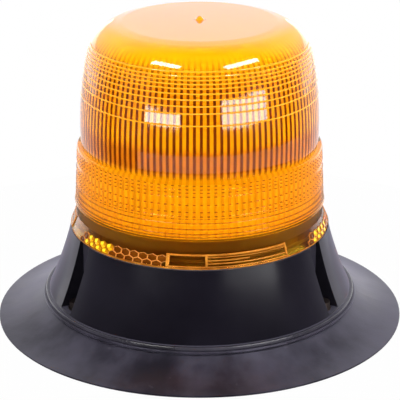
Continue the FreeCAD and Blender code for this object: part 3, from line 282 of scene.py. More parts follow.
def crown_outline():
    """The shoulder, the soft edge between it and the crown, the crown and the gate mark in its middle."""
    over_rings = SHOULDER_ARC[:, 1] > BODY_RINGS[-1] + 0.6
    points = SHOULDER_ARC[over_rings & (SHOULDER_ARC[:, 0] > CROWN_RADIUS + CREASE)]
    crown = arc_points((CROWN_RADIUS, CROWN_LOW), (0.0, CROWN_TOP), CROWN_CURVE, 60)
    crown = crown[(crown[:, 0] < CROWN_RADIUS - CREASE) & (crown[:, 0] > GATE_RADIUS + 0.6)]
    corner = np.array([CROWN_RADIUS, CROWN_LOW])
    for share in np.linspace(0, 1, 12)[1:-1]:
        bend = points[-1] * (1 - share) ** 2 + crown[0] * share ** 2
        points = np.vstack([points, bend + corner * 2 * share * (1 - share)])
    points = [tuple(point) for point in np.vstack([points, crown])]
    points += [
        (GATE_RADIUS + 0.2, CROWN_TOP), (GATE_RADIUS, CROWN_TOP + 0.08), (GATE_RADIUS - 0.3, CROWN_TOP + 0.4),
        (1.1, GATE_TOP - 0.6), (0.55, GATE_TOP - 0.08), (0.3, GATE_TOP),
    ]
    return points


def inner_outline():
    """The inside of the lens, from the middle of the crown down to the bore of the foot."""
    crown_edge = (CROWN_RADIUS, CROWN_LOW - WALL)
    wall_top = (SHOULDER_RADIUS - WALL, SHOULDER_LOW - 0.6)
    crown = arc_points((0.3, CROWN_TOP - WALL), crown_edge, -CROWN_CURVE, 12)
    shoulder = arc_points(crown_edge, wall_top, -(SHOULDER_CURVE - WALL), 16)
    points = [tuple(point) for point in np.vstack([crown, shoulder[1:]])]
    for level in np.linspace(SHOULDER_LOW - 2, STEP_TOP + 0.6, 26):
        points.append((body_radius(level) - WALL, level))
    points += [
        (BODY_RADIUS - WALL, STEP_TOP - 0.2),
        (BODY_RADIUS - WALL, DRUM_TOP - 1.4),
        (DRUM_TOP_RADIUS - WALL, DRUM_TOP - WALL),
    ]
    for level in np.linspace(DRUM_TOP - WALL - 1, SKIRT_TOP + 1.4, 12):
        points.append((drum_radius(level) - WALL, level))
    points.append((drum_radius(SKIRT_TOP) - WALL - 0.2, SKIRT_TOP))
    for level in np.linspace(SKIRT_TOP - 0.7, LENS_LOW + 2.6, 6):
        points.append((SKIRT_RADIUS - WALL, level))
    points += [(FOOT_BORE, LENS_LOW + 1.6)]
    return points


def level_row(radii, height):
    """One row of the lens at a height; radii is one number, or one for each column."""
    row = np.empty((LENS_COLUMNS, 2))
    row[:, 0] = radii
    row[:, 1] = height
    return row


def lens_rows():
    """All rows of the lens's skin, up the outside and down the fluted inside, and how many are outside."""
    outside = foot_outline() + drum_outline() + body_outline() + crown_outline()
    phase = ((np.arange(LENS_COLUMNS) - FLUTE_OFFSET) % FLUTE_SAMPLES) / FLUTE_SAMPLES * 2 - 1
    rib = 1 - phase ** 2
    rows = [level_row(radius, height) for radius, height in outside]
    for radius, height in inner_outline():
        rows.append(level_row(radius - FLUTE_DEPTH * flute_share(height) * rib, height))
    return rows, len(outside)


def mark_points(lens, rows, outside_count):
    """Marks points for the outer material: the beads and gate mark, and the ledges of the drum, which get
    painted shade.
    """
    raised = np.zeros((len(rows), LENS_COLUMNS))
    ledges = np.zeros((len(rows), LENS_COLUMNS))
    for index in range(outside_count):
        radius, height = rows[index][0]
        on_body = BODY_RINGS[0] - 1 < height < SHOULDER_LOW + 5
        on_gate = radius < GATE_RADIUS + 0.5 and height > CROWN_TOP - 0.01
        if on_gate or (on_body and radius > body_radius(height) + BEAD_HEIGHT * 0.5):
            raised[index] = 1.0
        if any(0.01 < height - ring < 2 * LEDGE_RISE for ring in DRUM_RINGS):
            ledges[index] = 1.0
    for name, shares in (("bead", raised), ("ledge_shade_mask", ledges)):
        share = lens.data.attributes.new(name, "FLOAT", "POINT")
        share.data.foreach_set("value", shares.ravel().tolist())


def make_lens():
    """The lens as one closed skin. Its inside and the underside of its foot take the second material."""
    rows, outside_count = lens_rows()
    vertices, faces = lathe(rows, LENS_COLUMNS)
    faces = faces.reshape(len(rows) - 1, LENS_COLUMNS, 4)
    seam = outside_count - 1
    outer = faces[:seam].reshape(-1, 4).tolist()
    inner = faces[seam + 1:].reshape(-1, 4).tolist()
    lowest = (len(rows) - 1) * LENS_COLUMNS
    foot = []
    for j in range(LENS_COLUMNS):
        following = (j + 1) % LENS_COLUMNS
        foot.append([lowest + j, lowest + following, following, j])
    gate_top = [seam * LENS_COLUMNS + j for j in range(LENS_COLUMNS)]
    gate_under = [(seam + 1) * LENS_COLUMNS + j for j in range(LENS_COLUMNS)]
    kept = outer + foot + [gate_top] + inner + [gate_under[::-1]]
    lens = new_object("lens_moulding", vertices, kept, LENS_SMOOTH)
    slots = np.ones(len(kept), int)
    slots[:len(outer)] = 0
    slots[len(outer) + len(foot)] = 0
    lens.data.polygons.foreach_set("material_index", slots.tolist())
    mark_points(lens, rows, outside_count)
    return lens


# Rounded edges of the housing's bead, the lens foot and the rubber lip
# Each ring: outer radius, low, high, edge radius and depth
HOUSING_BEAD = (72.75, 11.3, 13.05, 0.5, 1.2)
FOOT_RIM = (60.08, 44.55, 45.30, 0.3, 0.35)
LIP_BEAD = (73.75, 10.1, 11.25, 0.5, 1.0)
RING_COLUMNS = 360


def rounded_ring(radius, low, high, edge, depth):
    """Vertices and faces of a closed ring whose upper and lower outer edges are rounded."""
    section = [(radius - depth, low)]
    for centre, first in ((low + edge, -90.0), (high - edge, 0.0)):
        for degrees in np.linspace(first, first + 90.0, 9):
            turn = math.radians(degrees)
            section.append((radius - edge + edge * math.cos(turn), centre + edge * math.sin(turn)))
    section.append((radius - depth, high))
    rows = [np.tile(point, (RING_COLUMNS, 1)) for point in section]
    vertices, faces = lathe(rows, RING_COLUMNS, closed_rows=True)
    return vertices.tolist(), faces.tolist()


# The frames on the lens skirt, three times round
# Each bar: left and right in degrees from the front, low and high, and how far it stands out
TURNS = (0.0, 120.0, 240.0)
FRAME_BARS = (
    (-14.5, 41.0, 50.20, 50.85, 0.50),
    (-14.5, 41.0, 45.60, 46.00, 0.35),
    (-14.5, -13.0, 46.0, 50.3, 0.55),
    (2.4, 3.5, 46.0, 50.3, 0.45),
    (40.0, 41.0, 46.0, 50.3, 0.50),
    (3.2, 22.0, 48.05, 48.55, 0.40),
    (3.2, 40.2, 46.85, 47.25, 0.30),
    (3.2, 40.2, 49.35, 49.65, 0.25),
)
BAR_EDGE = 0.16
BAR_STEP = 1.2
# How deep the bars and cells are sunk in the skirt
SUNK = 0.25


def skirt_point(azimuth, height, offset):
    """A point on the skirt, its azimuth in degrees counted from the front towards +X."""
    turn = math.radians(azimuth - 90.0)
    radius = skirt_radius(height) + offset
    return (radius * math.cos(turn), radius * math.sin(turn), height)


def skirt_bar(left, right, low, high, rise):
    """Vertices and faces of a raised bar with soft edges on the skirt."""
    turn_edge = math.degrees(BAR_EDGE / SKIRT_RADIUS)
    across = [low, low, low + BAR_EDGE]
    across += list(np.linspace(low + BAR_EDGE, high - BAR_EDGE, 4)[1:-1])
    across += [high - BAR_EDGE, high, high]
    steps = max(2, int((right - left) / BAR_STEP))
    along = [left, left, left + turn_edge]
    along += list(np.linspace(left + turn_edge, right - turn_edge, steps + 1)[1:-1])
    along += [right - turn_edge, right, right]
    rows, columns = len(across), len(along)
    vertices = []
    for i, height in enumerate(across):
        for j, azimuth in enumerate(along):
            inset = min(i, rows - 1 - i, j, columns - 1 - j)
            vertices.append(skirt_point(azimuth, height, (-SUNK, 0.55 * rise, rise)[min(inset, 2)]))
    faces = []
    for i in range(rows - 1):
        for j in range(columns - 1):
            corner = i * columns + j
            faces.append((corner, corner + 1, corner + columns + 1, corner + columns))
    rim = list(range(columns))
    rim += [i * columns + columns - 1 for i in range(1, rows)]
    rim += [(rows - 1) * columns + j for j in range(columns - 2, -1, -1)]
    rim += [i * columns for i in range(rows - 2, 0, -1)]
    faces.append(tuple(rim[::-1]))
    return vertices, faces


def make_frames():
    """The bars of the three frames, and the rounded rim of the lens foot."""
    shapes = []
    for turn in TURNS:
        for left, right, low, high, rise in FRAME_BARS:
            shapes.append(skirt_bar(left + turn, right + turn, low, high, rise))
    shapes.append(rounded_ring(*FOOT_RIM))
    return joined("lens_frames", shapes)


# The reflex cells beside the frames: pitch and first place in degrees, rows and sizes in millimetres
CELL_PITCH = 4.4
CELL_FIRST = -62.5
CELL_COUNT = 11
CELL_ROWS = (46.1, 48.5)
CELL_HALF_HEIGHT = 1.60
CELL_LOW = 45.5
CELL_OUTER = 0.99
CELL_INNER = 0.90
RIM_RISE = 0.34
RIM_FLOOR = -0.20
FACET_HIGH = 0.14
FACET_LOW = -0.12
FACET_PEAK = 0.26
FACET_UNDER = -0.24
# Cells in this span of azimuth from each frame get a painted glint; the other cells get painted shade
PAINTED_GLINT_CELLS = (-59.0, -42.0)
FACES_PER_FACET = 4


def hexagon(azimuth, height, share):
    """Corners of a cell as (azimuth, height), cut off level at the foot."""
    corners = []
    for corner in range(6):
        turn = math.radians(60.0 * corner + 30.0)
        side = azimuth + CELL_PITCH / math.sqrt(3) * math.cos(turn) * share
        level = height + CELL_HALF_HEIGHT * math.sin(turn) * share
        corners.append((side, max(level, CELL_LOW)))
    return corners


def cell_rim(azimuth, height):
    """Vertices and faces of the raised rim of a cell."""
    outer = hexagon(azimuth, height, CELL_OUTER)
    inner = hexagon(azimuth, height, CELL_INNER)
    vertices = []
    for corners, offset in ((outer, -SUNK), (outer, RIM_RISE), (inner, RIM_RISE), (inner, RIM_FLOOR)):
        vertices += [skirt_point(side, level, offset) for side, level in corners]
    faces = []
    for k in range(6):
        n = (k + 1) % 6
        for ring in (0, 6, 12):
            faces.append((ring + k, ring + n, ring + 6 + n, ring + 6 + k))
        faces.append((18 + k, 18 + n, n, k))
    return vertices, faces


def cell_facets(azimuth, height):
    """Vertices and faces of the three facets of a cell, closed below."""
    middle = max(height, CELL_LOW + 0.4)
    vertices = []
    for k, (side, level) in enumerate(hexagon(azimuth, height, CELL_INNER)):
        vertices.append(skirt_point(side, level, FACET_LOW if k % 2 else FACET_HIGH))
    vertices.append(skirt_point(azimuth, middle, FACET_PEAK))
    vertices.append(skirt_point(azimuth, middle, FACET_UNDER))
    faces = []
    for k in (1, 3, 5):
        faces.append((6, k, (k + 1) % 6))
        faces.append((6, (k + 1) % 6, (k + 2) % 6))
        faces.append((7, (k + 1) % 6, k))
        faces.append((7, (k + 2) % 6, (k + 1) % 6))
    return vertices, faces


def make_cells():
    """Hexagonal reflex cells: a raised rim round three facets that meet in the middle. Cells in one span of
    azimuth get a painted glint, their facets painted lit, half lit and shaded inside darker painted-shade
    rims; the other cells get painted shade.
    """
    rims, painted_shade_rims, bright, painted_shade_facets = [], [], [], []
    for turn in TURNS:
        for row, height in enumerate(CELL_ROWS):
            for place in range(CELL_COUNT):
                azimuth = turn + CELL_FIRST + CELL_PITCH * (place + 0.5 * row)
                painted_glint = PAINTED_GLINT_CELLS[0] < azimuth - turn < PAINTED_GLINT_CELLS[1]
                (painted_shade_rims if painted_glint else rims).append(cell_rim(azimuth, height))
                (bright if painted_glint else painted_shade_facets).append(cell_facets(azimuth, height))
    facets = joined("reflex_painted_glint_facets", bright, FACET_SMOOTH)
    # Each facet of a glinting cell gets its own copy of the amber, painted lit, half lit or shaded
    shades = [index // FACES_PER_FACET % 3 for index in range(len(facets.data.polygons))]
    facets.data.polygons.foreach_set("material_index", shades)
    return (
        joined("reflex_rims", rims, RIM_SMOOTH),
        joined("reflex_painted_shade_rims", painted_shade_rims, RIM_SMOOTH),
        joined("reflex_painted_shade_facets", painted_shade_facets, FACET_SMOOTH),
        facets,
    )


# Shader nodes
def blank_tree(owner):
    """The emptied node tree of a material or the world."""
    owner.use_nodes = True
    owner.node_tree.nodes.clear()
    return owner.node_tree


def new_material(name):
    material = bpy.data.materials.new(name)
    tree = blank_tree(material)
    output = tree.nodes.new("ShaderNodeOutputMaterial")
    shader = tree.nodes.new("ShaderNodeBsdfPrincipled")
    tree.links.new(shader.outputs["BSDF"], output.inputs["Surface"])
    return material, tree, shader


def principled(material):
    """The shader of a finish."""
    return next(node for node in material.node_tree.nodes if node.type == "BSDF_PRINCIPLED")


def axes(tree, space="Object"):
    """X, Y and Z of the shaded point in the object's metres, or of the direction for the world."""
    place = tree.nodes.new("ShaderNodeTexCoord")
    split = tree.nodes.new("ShaderNodeSeparateXYZ")
    tree.links.new(place.outputs[space], split.inputs["Vector"])
    return split.outputs["X"], split.outputs["Y"], split.outputs["Z"]


def object_noise(tree, scale, detail=3.0, roughness=0.5):
    place = tree.nodes.new("ShaderNodeTexCoord")
    noise = tree.nodes.new("ShaderNodeTexNoise")
    noise.inputs["Scale"].default_value = scale
    noise.inputs["Detail"].default_value = detail
    noise.inputs["Roughness"].default_value = roughness
    tree.links.new(place.outputs["Object"], noise.inputs["Vector"])
    return noise.outputs["Fac"]


def number(tree, operation, first, second=None):
    """A maths node of one or two values, each a socket or a plain number."""
    node = tree.nodes.new("ShaderNodeMath")
    node.operation = operation
    for index, value in enumerate((first, second)):
        if value is None:
            continue
        if isinstance(value, (int, float)):
            node.inputs[index].default_value = value
        else:
            tree.links.new(value, node.inputs[index])
    return node.outputs[0]


def product(tree, first, second):
    return number(tree, "MULTIPLY", first, second)


def total(tree, first, second):
    return number(tree, "ADD", first, second)


def map_range(tree, value, from_low, from_high, to_low, to_high, smooth=True):
    node = tree.nodes.new("ShaderNodeMapRange")
    node.interpolation_type = "SMOOTHSTEP" if smooth else "LINEAR"
    for name, given in (
        ("From Min", from_low), ("From Max", from_high), ("To Min", to_low), ("To Max", to_high),
    ):
        node.inputs[name].default_value = given
    tree.links.new(value, node.inputs["Value"])
    return node.outputs["Result"]


def above(tree, z, low, high):
    """0 under the low height and 1 over the high one, both in millimetres."""
    return map_range(tree, z, low * MM, high * MM, 0.0, 1.0)


def below(tree, z, low, high, most=1.0):
    """The most under the low height and 0 over the high one, both in millimetres."""
    return map_range(tree, z, low * MM, high * MM, most, 0.0)


def spread(tree, value, low, high):
    """The value from 0.3 to 0.7 spread over low to high."""
    return map_range(tree, value, 0.3, 0.7, low, high, smooth=False)


def ramp(tree, value, stops):
    """A colour ramp over the value from (position, colour) stops."""
    node = tree.nodes.new("ShaderNodeValToRGB")
    node.color_ramp.elements[0].position = stops[0][0]
    node.color_ramp.elements[0].color = (*stops[0][1], 1)
    node.color_ramp.elements[1].position = stops[-1][0]
    node.color_ramp.elements[1].color = (*stops[-1][1], 1)
    for position, colour in stops[1:-1]:
        element = node.color_ramp.elements.new(position)
        element.color = (*colour, 1)
    tree.links.new(value, node.inputs["Fac"])
    return node.outputs["Color"]


def patched(tree, patches, shades):
    """Soft patches of two shades."""
    return ramp(tree, patches, ((0.3, shades[0]), (0.7, shades[1])))


def mix_colour(tree, share, first, second):
    node = tree.nodes.new("ShaderNodeMix")
    node.data_type = "RGBA"
    tree.links.new(share, node.inputs[0])
    for index, colour in ((6, first), (7, second)):
        if isinstance(colour, tuple):
            node.inputs[index].default_value = (*colour, 1)
        else:
            tree.links.new(colour, node.inputs[index])
    return node.outputs[2]


def bump(tree, value, strength, distance, normal=None):
    node = tree.nodes.new("ShaderNodeBump")
    node.inputs["Strength"].default_value = strength
    node.inputs["Distance"].default_value = distance
    tree.links.new(value, node.inputs["Height"])
    if normal is not None:
        tree.links.new(normal, node.inputs["Normal"])
    return node.outputs["Normal"]


def surface(name, dark, light, rough_low, rough_high, grain=900.0, patch=45.0, metallic=0.0,
            bump_strength=0.2, bump_distance=0.00006, gloss=0.5):
    """A finish with soft patches of colour and roughness, and a fine grain."""
    material, tree, shader = new_material(name)
    patches = object_noise(tree, patch, 4.0, 0.6)
    fine = object_noise(tree, grain, 2.0, 0.5)
    tree.links.new(patched(tree, patches, (dark, light)), shader.inputs["Base Color"])
    tree.links.new(spread(tree, patches, rough_low, rough_high), shader.inputs["Roughness"])
    tree.links.new(bump(tree, fine, bump_strength, bump_distance), shader.inputs["Normal"])
    shader.inputs["Metallic"].default_value = metallic
    shader.inputs["Specular IOR Level"].default_value = gloss
    return material


# Ambers of the lens; a pair is the two shades of soft patches
AMBER_IOR = 1.49
MOULDING_GLOSS = (1.0, 0.52, 0.12, 1)
CLEAR_AMBER = ((0.99, 0.62, 0.030), (1.0, 0.66, 0.045))
BEAD_AMBER = (0.98, 0.38, 0.015)
# Painted shade for the steps of the drum's ledges
LEDGE_PAINTED_SHADE = (0.32, 0.045, 0.0004)
WHITE_GLOSS = (1.0, 1.0, 1.0)
AMBER_GLOSS = (0.9, 0.35, 0.05)
RIB_DRUM = ((0.99, 0.49, 0.004), (1.0, 0.56, 0.008))
RIB_LOW = ((0.99, 0.50, 0.006), (1.0, 0.58, 0.012))
RIB_HIGH = ((0.99, 0.60, 0.006), (1.0, 0.67, 0.012))
# Painted pink reflection for the ribs just above the drum, added on top of the real reflection of the pale
# card in front
PAINTED_PINK_REFLECTION = (0.66, 0.27, 0.070)
# Painted shade for the gaps between the flutes
GAP_PAINTED_SHADE = (0.17, 0.014, 0.0003)
# Painted shade for the inner face of the skirt, below the drum
SKIRT_PAINTED_SHADE = (0.34, 0.055, 0.001)

# Where one look of the lens passes into the next, from and to in millimetres above the ground
SKIRT_END = (55.8, 57.2)
DRUM_START = (56.5, 58.0)
UNBROKEN_LEDGE_SHADE_END = (64.0, 69.0)
DRUM_RIBS_END = (82.0, 86.0)
DRUM_END = (83.0, 85.0)
AMBER_GLOSS_END = (83.0, 87.0)
PINK_REFLECTION_START = (84.0, 87.0)
PINK_REFLECTION_END = (93.0, 99.0)
HIGH_RIBS_START = (122.0, 134.0)
CROWN_GLOSS_START = (138.0, 141.0)


def flute_gap(tree, x, y, start, end):
    """1 in the gaps between the flutes and 0 on their ribs."""
    turns = product(tree, number(tree, "ARCTAN2", y, x), FLUTES / (2 * math.pi))
    turns = number(tree, "SUBTRACT", turns, FLUTE_OFFSET / FLUTE_SAMPLES)
    return map_range(tree, number(tree, "PINGPONG", turns, 0.5), start, end, 1.0, 0.0)


def point_share(tree, name):
    """A share that mark_points wrote on the lens."""
    node = tree.nodes.new("ShaderNodeAttribute")
    node.attribute_name = name
    return node.outputs["Fac"]


def amber_material():
    """The clear outer face of the lens: scattering beads, painted shade on its ledges (unbroken low on the
    drum, in dashes over the flute gaps above) and a glossy crown.
    """
    material, tree, shader = new_material("amber_plastic")
    x, y, z = axes(tree)
    patches = object_noise(tree, 14.0, 2.0, 0.5)
    fine = object_noise(tree, 260.0, 2.0, 0.5)
    bead = point_share(tree, "bead")
    # Painted shade on the ledges: unbroken low on the drum, in dashes over the flute gaps higher up, where
    # the amber is also less clear
    unbroken = below(tree, z, *UNBROKEN_LEDGE_SHADE_END, 0.85)
    painted_shade_dashes = number(tree, "MAXIMUM", flute_gap(tree, x, y, 0.12, 0.26), unbroken)
    dark = product(tree, point_share(tree, "ledge_shade_mask"), painted_shade_dashes)
    colour = mix_colour(tree, bead, patched(tree, patches, CLEAR_AMBER), BEAD_AMBER)
    tree.links.new(mix_colour(tree, dark, colour, LEDGE_PAINTED_SHADE), shader.inputs["Base Color"])
    drum = product(tree, above(tree, z, *DRUM_START), below(tree, z, *DRUM_END))
    rough = total(tree, spread(tree, fine, 0.05, 0.08), product(tree, drum, 0.06))
    tree.links.new(rough, shader.inputs["Roughness"])
    gloss = mix_colour(tree, below(tree, z, *AMBER_GLOSS_END), WHITE_GLOSS, AMBER_GLOSS)
    tree.links.new(gloss, shader.inputs["Specular Tint"])
    tree.links.new(bump(tree, fine, 0.02, 0.00003), shader.inputs["Normal"])
    either = number(tree, "MAXIMUM", bead, product(tree, dark, 0.9))
    tree.links.new(map_range(tree, either, 0.0, 1.0, 1.0, 0.30), shader.inputs["Transmission Weight"])
    tree.links.new(above(tree, z, *CROWN_GLOSS_START), shader.inputs["Coat Weight"])
    shader.inputs["IOR"].default_value = AMBER_IOR
    shader.inputs["Coat IOR"].default_value = AMBER_IOR
    shader.inputs["Coat Roughness"].default_value = 0.03
    return material


def flute_material():
    """The inner face of the lens: bright ribs with painted shade in the gaps between them, a band of painted
    pink reflection above the drum, and a clearer skirt darkened with painted shade.
    """
    material, tree, shader = new_material("amber_flutes")
    x, y, z = axes(tree)
    patches = object_noise(tree, 22.0, 3.0, 0.5)
    fine = object_noise(tree, 420.0, 2.0, 0.5)
    ribs = patched(tree, patches, RIB_LOW)
    ribs = mix_colour(tree, below(tree, z, *DRUM_RIBS_END), ribs, patched(tree, patches, RIB_DRUM))
    # A band of painted pink reflection on the ribs just above the drum
    pink_reflection_band = product(tree, above(tree, z, *PINK_REFLECTION_START), below(tree, z, *PINK_REFLECTION_END))
    ribs = mix_colour(tree, pink_reflection_band, ribs, PAINTED_PINK_REFLECTION)
    ribs = mix_colour(tree, above(tree, z, *HIGH_RIBS_START), ribs, patched(tree, patches, RIB_HIGH))
    # Painted shade darkens the gaps between the flutes, more at some heights than at others
    level = map_range(tree, z, GAP_LOW * MM, GAP_HIGH * MM, 0.0, 1.0, smooth=False)
    stops = [((height - GAP_LOW) / (GAP_HIGH - GAP_LOW), (share,) * 3) for height, share in GAP_PAINTED_SHADE_DEPTHS]
    shade = product(tree, flute_gap(tree, x, y, 0.16, 0.30), ramp(tree, level, stops))
    fluted = mix_colour(tree, shade, ribs, GAP_PAINTED_SHADE)
    # Below the drum, painted shade darkens the inner face
    skirt = below(tree, z, *SKIRT_END)
    tree.links.new(mix_colour(tree, skirt, fluted, SKIRT_PAINTED_SHADE), shader.inputs["Base Color"])
    tree.links.new(spread(tree, fine, 0.40, 0.50), shader.inputs["Roughness"])
    tree.links.new(bump(tree, fine, 0.08, 0.00005), shader.inputs["Normal"])
    tree.links.new(map_range(tree, skirt, 0.0, 1.0, 0.06, 0.78), shader.inputs["Transmission Weight"])
    shader.inputs["IOR"].default_value = AMBER_IOR
    return material


def moulding_material(name, colour, other, transmission, rough_low, rough_high):
    """Amber that scatters more, for rails and reflex cells."""
    material = surface(name, colour, other, rough_low, rough_high, 700.0, 120.0, bump_strength=0.08)
    shader = principled(material)
    shader.inputs["Transmission Weight"].default_value = transmission
    shader.inputs["Specular Tint"].default_value = MOULDING_GLOSS
    shader.inputs["IOR"].default_value = AMBER_IOR
    return material


# The black pieces: their bloom at a slant, and its tint
HOUSING_SHEEN = 0.8
RUBBER_SHEEN = 0.4
SHEEN_TINT = (0.80, 0.76, 1.0, 1)
RUBBER_GLOSS = (0.82, 0.80, 1.0, 1)
RUBBER_SHADES = ((0.0040, 0.0030, 0.0055), (0.0170, 0.0140, 0.0250))
RUBBER_SCUFF = (0.06, 0.05, 0.065)
GLASS_IOR = 1.46


def lavender_sheen(material, weight):
    """Adds the pale lavender bloom that black moulding and rubber show where they are seen at a slant."""
    shader = principled(material)
    shader.inputs["Sheen Weight"].default_value = weight
    shader.inputs["Sheen Roughness"].default_value = 0.35
    shader.inputs["Sheen Tint"].default_value = SHEEN_TINT
    return material


def outward_smears(tree, x, y):
    """Noise that is drawn out away from the axis."""
    around = product(tree, number(tree, "ARCTAN2", y, x), 2.2)
    reach = number(tree, "SQRT", total(tree, product(tree, x, x), product(tree, y, y)))
    turned = tree.nodes.new("ShaderNodeCombineXYZ")
    tree.links.new(around, turned.inputs["X"])
    tree.links.new(product(tree, reach, 22.0), turned.inputs["Y"])
    smears = tree.nodes.new("ShaderNodeTexNoise")
    smears.inputs["Scale"].default_value = 2.4
    smears.inputs["Detail"].default_value = 5.0
    tree.links.new(turned.outputs[0], smears.inputs["Vector"])
    return smears.outputs["Fac"]


def rubber_material():
    """Black rubber: soft patches, faint smears that run outward, small scuffs and a lavender gloss."""
    material, tree, shader = new_material("black_rubber")
    x, y, _ = axes(tree)
    patches = object_noise(tree, 15.0, 4.0, 0.6)
    broad = object_noise(tree, 48.0, 3.0, 0.55)
    worn = total(tree, product(tree, patches, 0.6), product(tree, outward_smears(tree, x, y), 0.4))
    scuff = map_range(tree, object_noise(tree, 260.0, 1.0, 0.4), 0.74, 0.80, 0.0, 0.35)
    soft = ramp(tree, worn, ((0.38, RUBBER_SHADES[0]), (0.62, RUBBER_SHADES[1])))
    tree.links.new(mix_colour(tree, scuff, soft, RUBBER_SCUFF), shader.inputs["Base Color"])
    rough = total(tree, spread(tree, broad, -0.03, 0.04), map_range(tree, worn, 0.36, 0.64, 0.32, 0.52))
    tree.links.new(rough, shader.inputs["Roughness"])
    tree.links.new(map_range(tree, worn, 0.38, 0.62, 0.30, 1.0), shader.inputs["Specular IOR Level"])
    grain = bump(tree, object_noise(tree, 1100.0, 2.0, 0.5), 0.30, 0.00007)
    tree.links.new(bump(tree, broad, 0.25, 0.0004, grain), shader.inputs["Normal"])
    shader.inputs["Specular Tint"].default_value = RUBBER_GLOSS
    return material


def plastic_material():
    """The black moulded housing: nearly even, with a soft gloss."""
    return surface(
        "black_plastic", (0.0024, 0.0020, 0.0036), (0.0054, 0.0046, 0.0080), 0.16, 0.24, 1400.0, 24.0,
        bump_strength=0.05, bump_distance=0.00002, gloss=0.15,
    )


def rubbed_and_highlit_material():
    """Shiny black plastic with grey patches, for the housing's bead: the grey is partly rubbed wear and
    partly a painted highlight along the bead.
    """
    return surface(
        "rubbed_and_highlit_plastic", (0.006, 0.005, 0.008), (0.045, 0.042, 0.056), 0.14, 0.24, 1400.0, 34.0, gloss=0.7,
    )


def glass_material():
    material = surface("lamp_glass", (0.96, 0.97, 0.97), (1.0, 1.0, 1.0), 0.0, 0.03)
    shader = principled(material)
    shader.inputs["Transmission Weight"].default_value = 1.0
    shader.inputs["IOR"].default_value = GLASS_IOR
    return material


# Finishes of the small pieces: darker and lighter colour, lowest and highest roughness
METALS = {
    "zinc_steel": ((0.50, 0.50, 0.48), (0.66, 0.65, 0.60), 0.25, 0.42),
    # Zinc darkened with painted shade, for the screws deep in the housing's pockets
    "pocket_painted_shade_zinc": ((0.06, 0.045, 0.04), (0.13, 0.10, 0.09), 0.35, 0.55),
    "ground_steel": ((0.6, 0.6, 0.6), (0.72, 0.72, 0.72), 0.12, 0.25),
    "spring_steel": ((0.2, 0.2, 0.21), (0.32, 0.32, 0.34), 0.25, 0.4),
    "bronze": ((0.45, 0.28, 0.12), (0.6, 0.4, 0.2), 0.3, 0.45),
    "bright_aluminium": ((0.86, 0.86, 0.87), (0.93, 0.93, 0.93), 0.04, 0.12),
    "tungsten": ((0.3, 0.3, 0.29), (0.45, 0.44, 0.42), 0.3, 0.4),
    "wound_core": ((0.45, 0.2, 0.1), (0.6, 0.3, 0.15), 0.3, 0.4),
    "terminal_brass": ((0.6, 0.45, 0.18), (0.75, 0.6, 0.3), 0.25, 0.4),
}
PLAINS = {
    "ferrite": ((0.03, 0.03, 0.033), (0.06, 0.06, 0.065), 0.6, 0.8),
    "acetal": ((0.75, 0.73, 0.68), (0.85, 0.83, 0.79), 0.4, 0.55),
    "carrier_plastic": ((0.02, 0.02, 0.022), (0.04, 0.04, 0.043), 0.45, 0.6),
    "block_nylon": ((0.7, 0.68, 0.6), (0.8, 0.78, 0.72), 0.4, 0.55),
    "lead_sleeve": ((0.35, 0.02, 0.02), (0.5, 0.04, 0.03), 0.35, 0.5),
}
# Finishes of the mouldings on the lens skirt: two colours, transmission, lowest and highest roughness
MOULDINGS = {
    "amber_rail": ((0.35, 0.10, 0.008), (0.95, 0.40, 0.05), 0.45, 0.10, 0.20),
    "reflex_rim": ((0.85, 0.30, 0.05), (0.95, 0.42, 0.10), 0.45, 0.08, 0.16),
    # The reflex finishes below are painted light: painted shade for the dim cells and the rims of the
    # glinting ones, and lit, half-lit and shaded copies for the glinting facets
    "reflex_painted_shade_rim": ((0.40, 0.13, 0.003), (0.62, 0.25, 0.006), 0.40, 0.08, 0.16),
    "reflex_painted_shade": ((0.10, 0.022, 0.001), (0.20, 0.05, 0.003), 0.30, 0.06, 0.14),
    "reflex_painted_lit_facet": ((1.0, 0.66, 0.01), (1.0, 0.78, 0.03), 0.10, 0.04, 0.10),
    "reflex_painted_half_lit_facet": ((0.85, 0.38, 0.005), (1.0, 0.55, 0.01), 0.25, 0.04, 0.10),
    "reflex_painted_shaded_facet": ((0.45, 0.16, 0.003), (0.75, 0.33, 0.006), 0.35, 0.04, 0.10),
}
REFLEX_PAINTED_LIGHTING = ("reflex_painted_lit_facet", "reflex_painted_half_lit_facet", "reflex_painted_shaded_facet")
POCKET_NODES = ("housing_screws", "screw_washers")


def make_materials():
    made = {
        "black_plastic": lavender_sheen(plastic_material(), HOUSING_SHEEN),
        "black_rubber": lavender_sheen(rubber_material(), RUBBER_SHEEN),
        "rubbed_and_highlit_plastic": rubbed_and_highlit_material(),
        "lamp_glass": glass_material(),
        "amber_plastic": amber_material(),
        "amber_flutes": flute_material(),
    }
    for name, finish in METALS.items():
        made[name] = surface(name, *finish, metallic=1.0)
    for name, finish in PLAINS.items():
        made[name] = surface(name, *finish)
    for name, finish in MOULDINGS.items():
        made[name] = moulding_material(name, *finish)
    return made


def dress_cad_nodes():
    """Gives each CAD node the finish of its slot; the screws and washers deep in the pockets get a darker
    zinc as painted shade.
    """
    for part in frame["record"]["subparts"]:
        obj = nodes[part["node"]]
        material = materials[part["material_slot"]]
        # The screws and washers in the pockets get painted shade
        if part["node"] in POCKET_NODES:
            material = materials["pocket_painted_shade_zinc"]
        obj.data.materials.clear()
        obj.data.materials.append(material)


# The floor: a round table top, and a card in front of it in an arc, in metres and degrees from the front
TABLE_RADIUS = 0.20
TABLE_STEP = 3
CARD_NEAR = 0.24
CARD_FAR = 0.36
CARD_LEFT = -56
CARD_RIGHT = 124
CARD_STEP = 4
FLOOR_DROP = 0.0002
TABLE_SHADE = 0.2
CARD_SHADE = 0.65
FLOOR_WHITE = 0.99


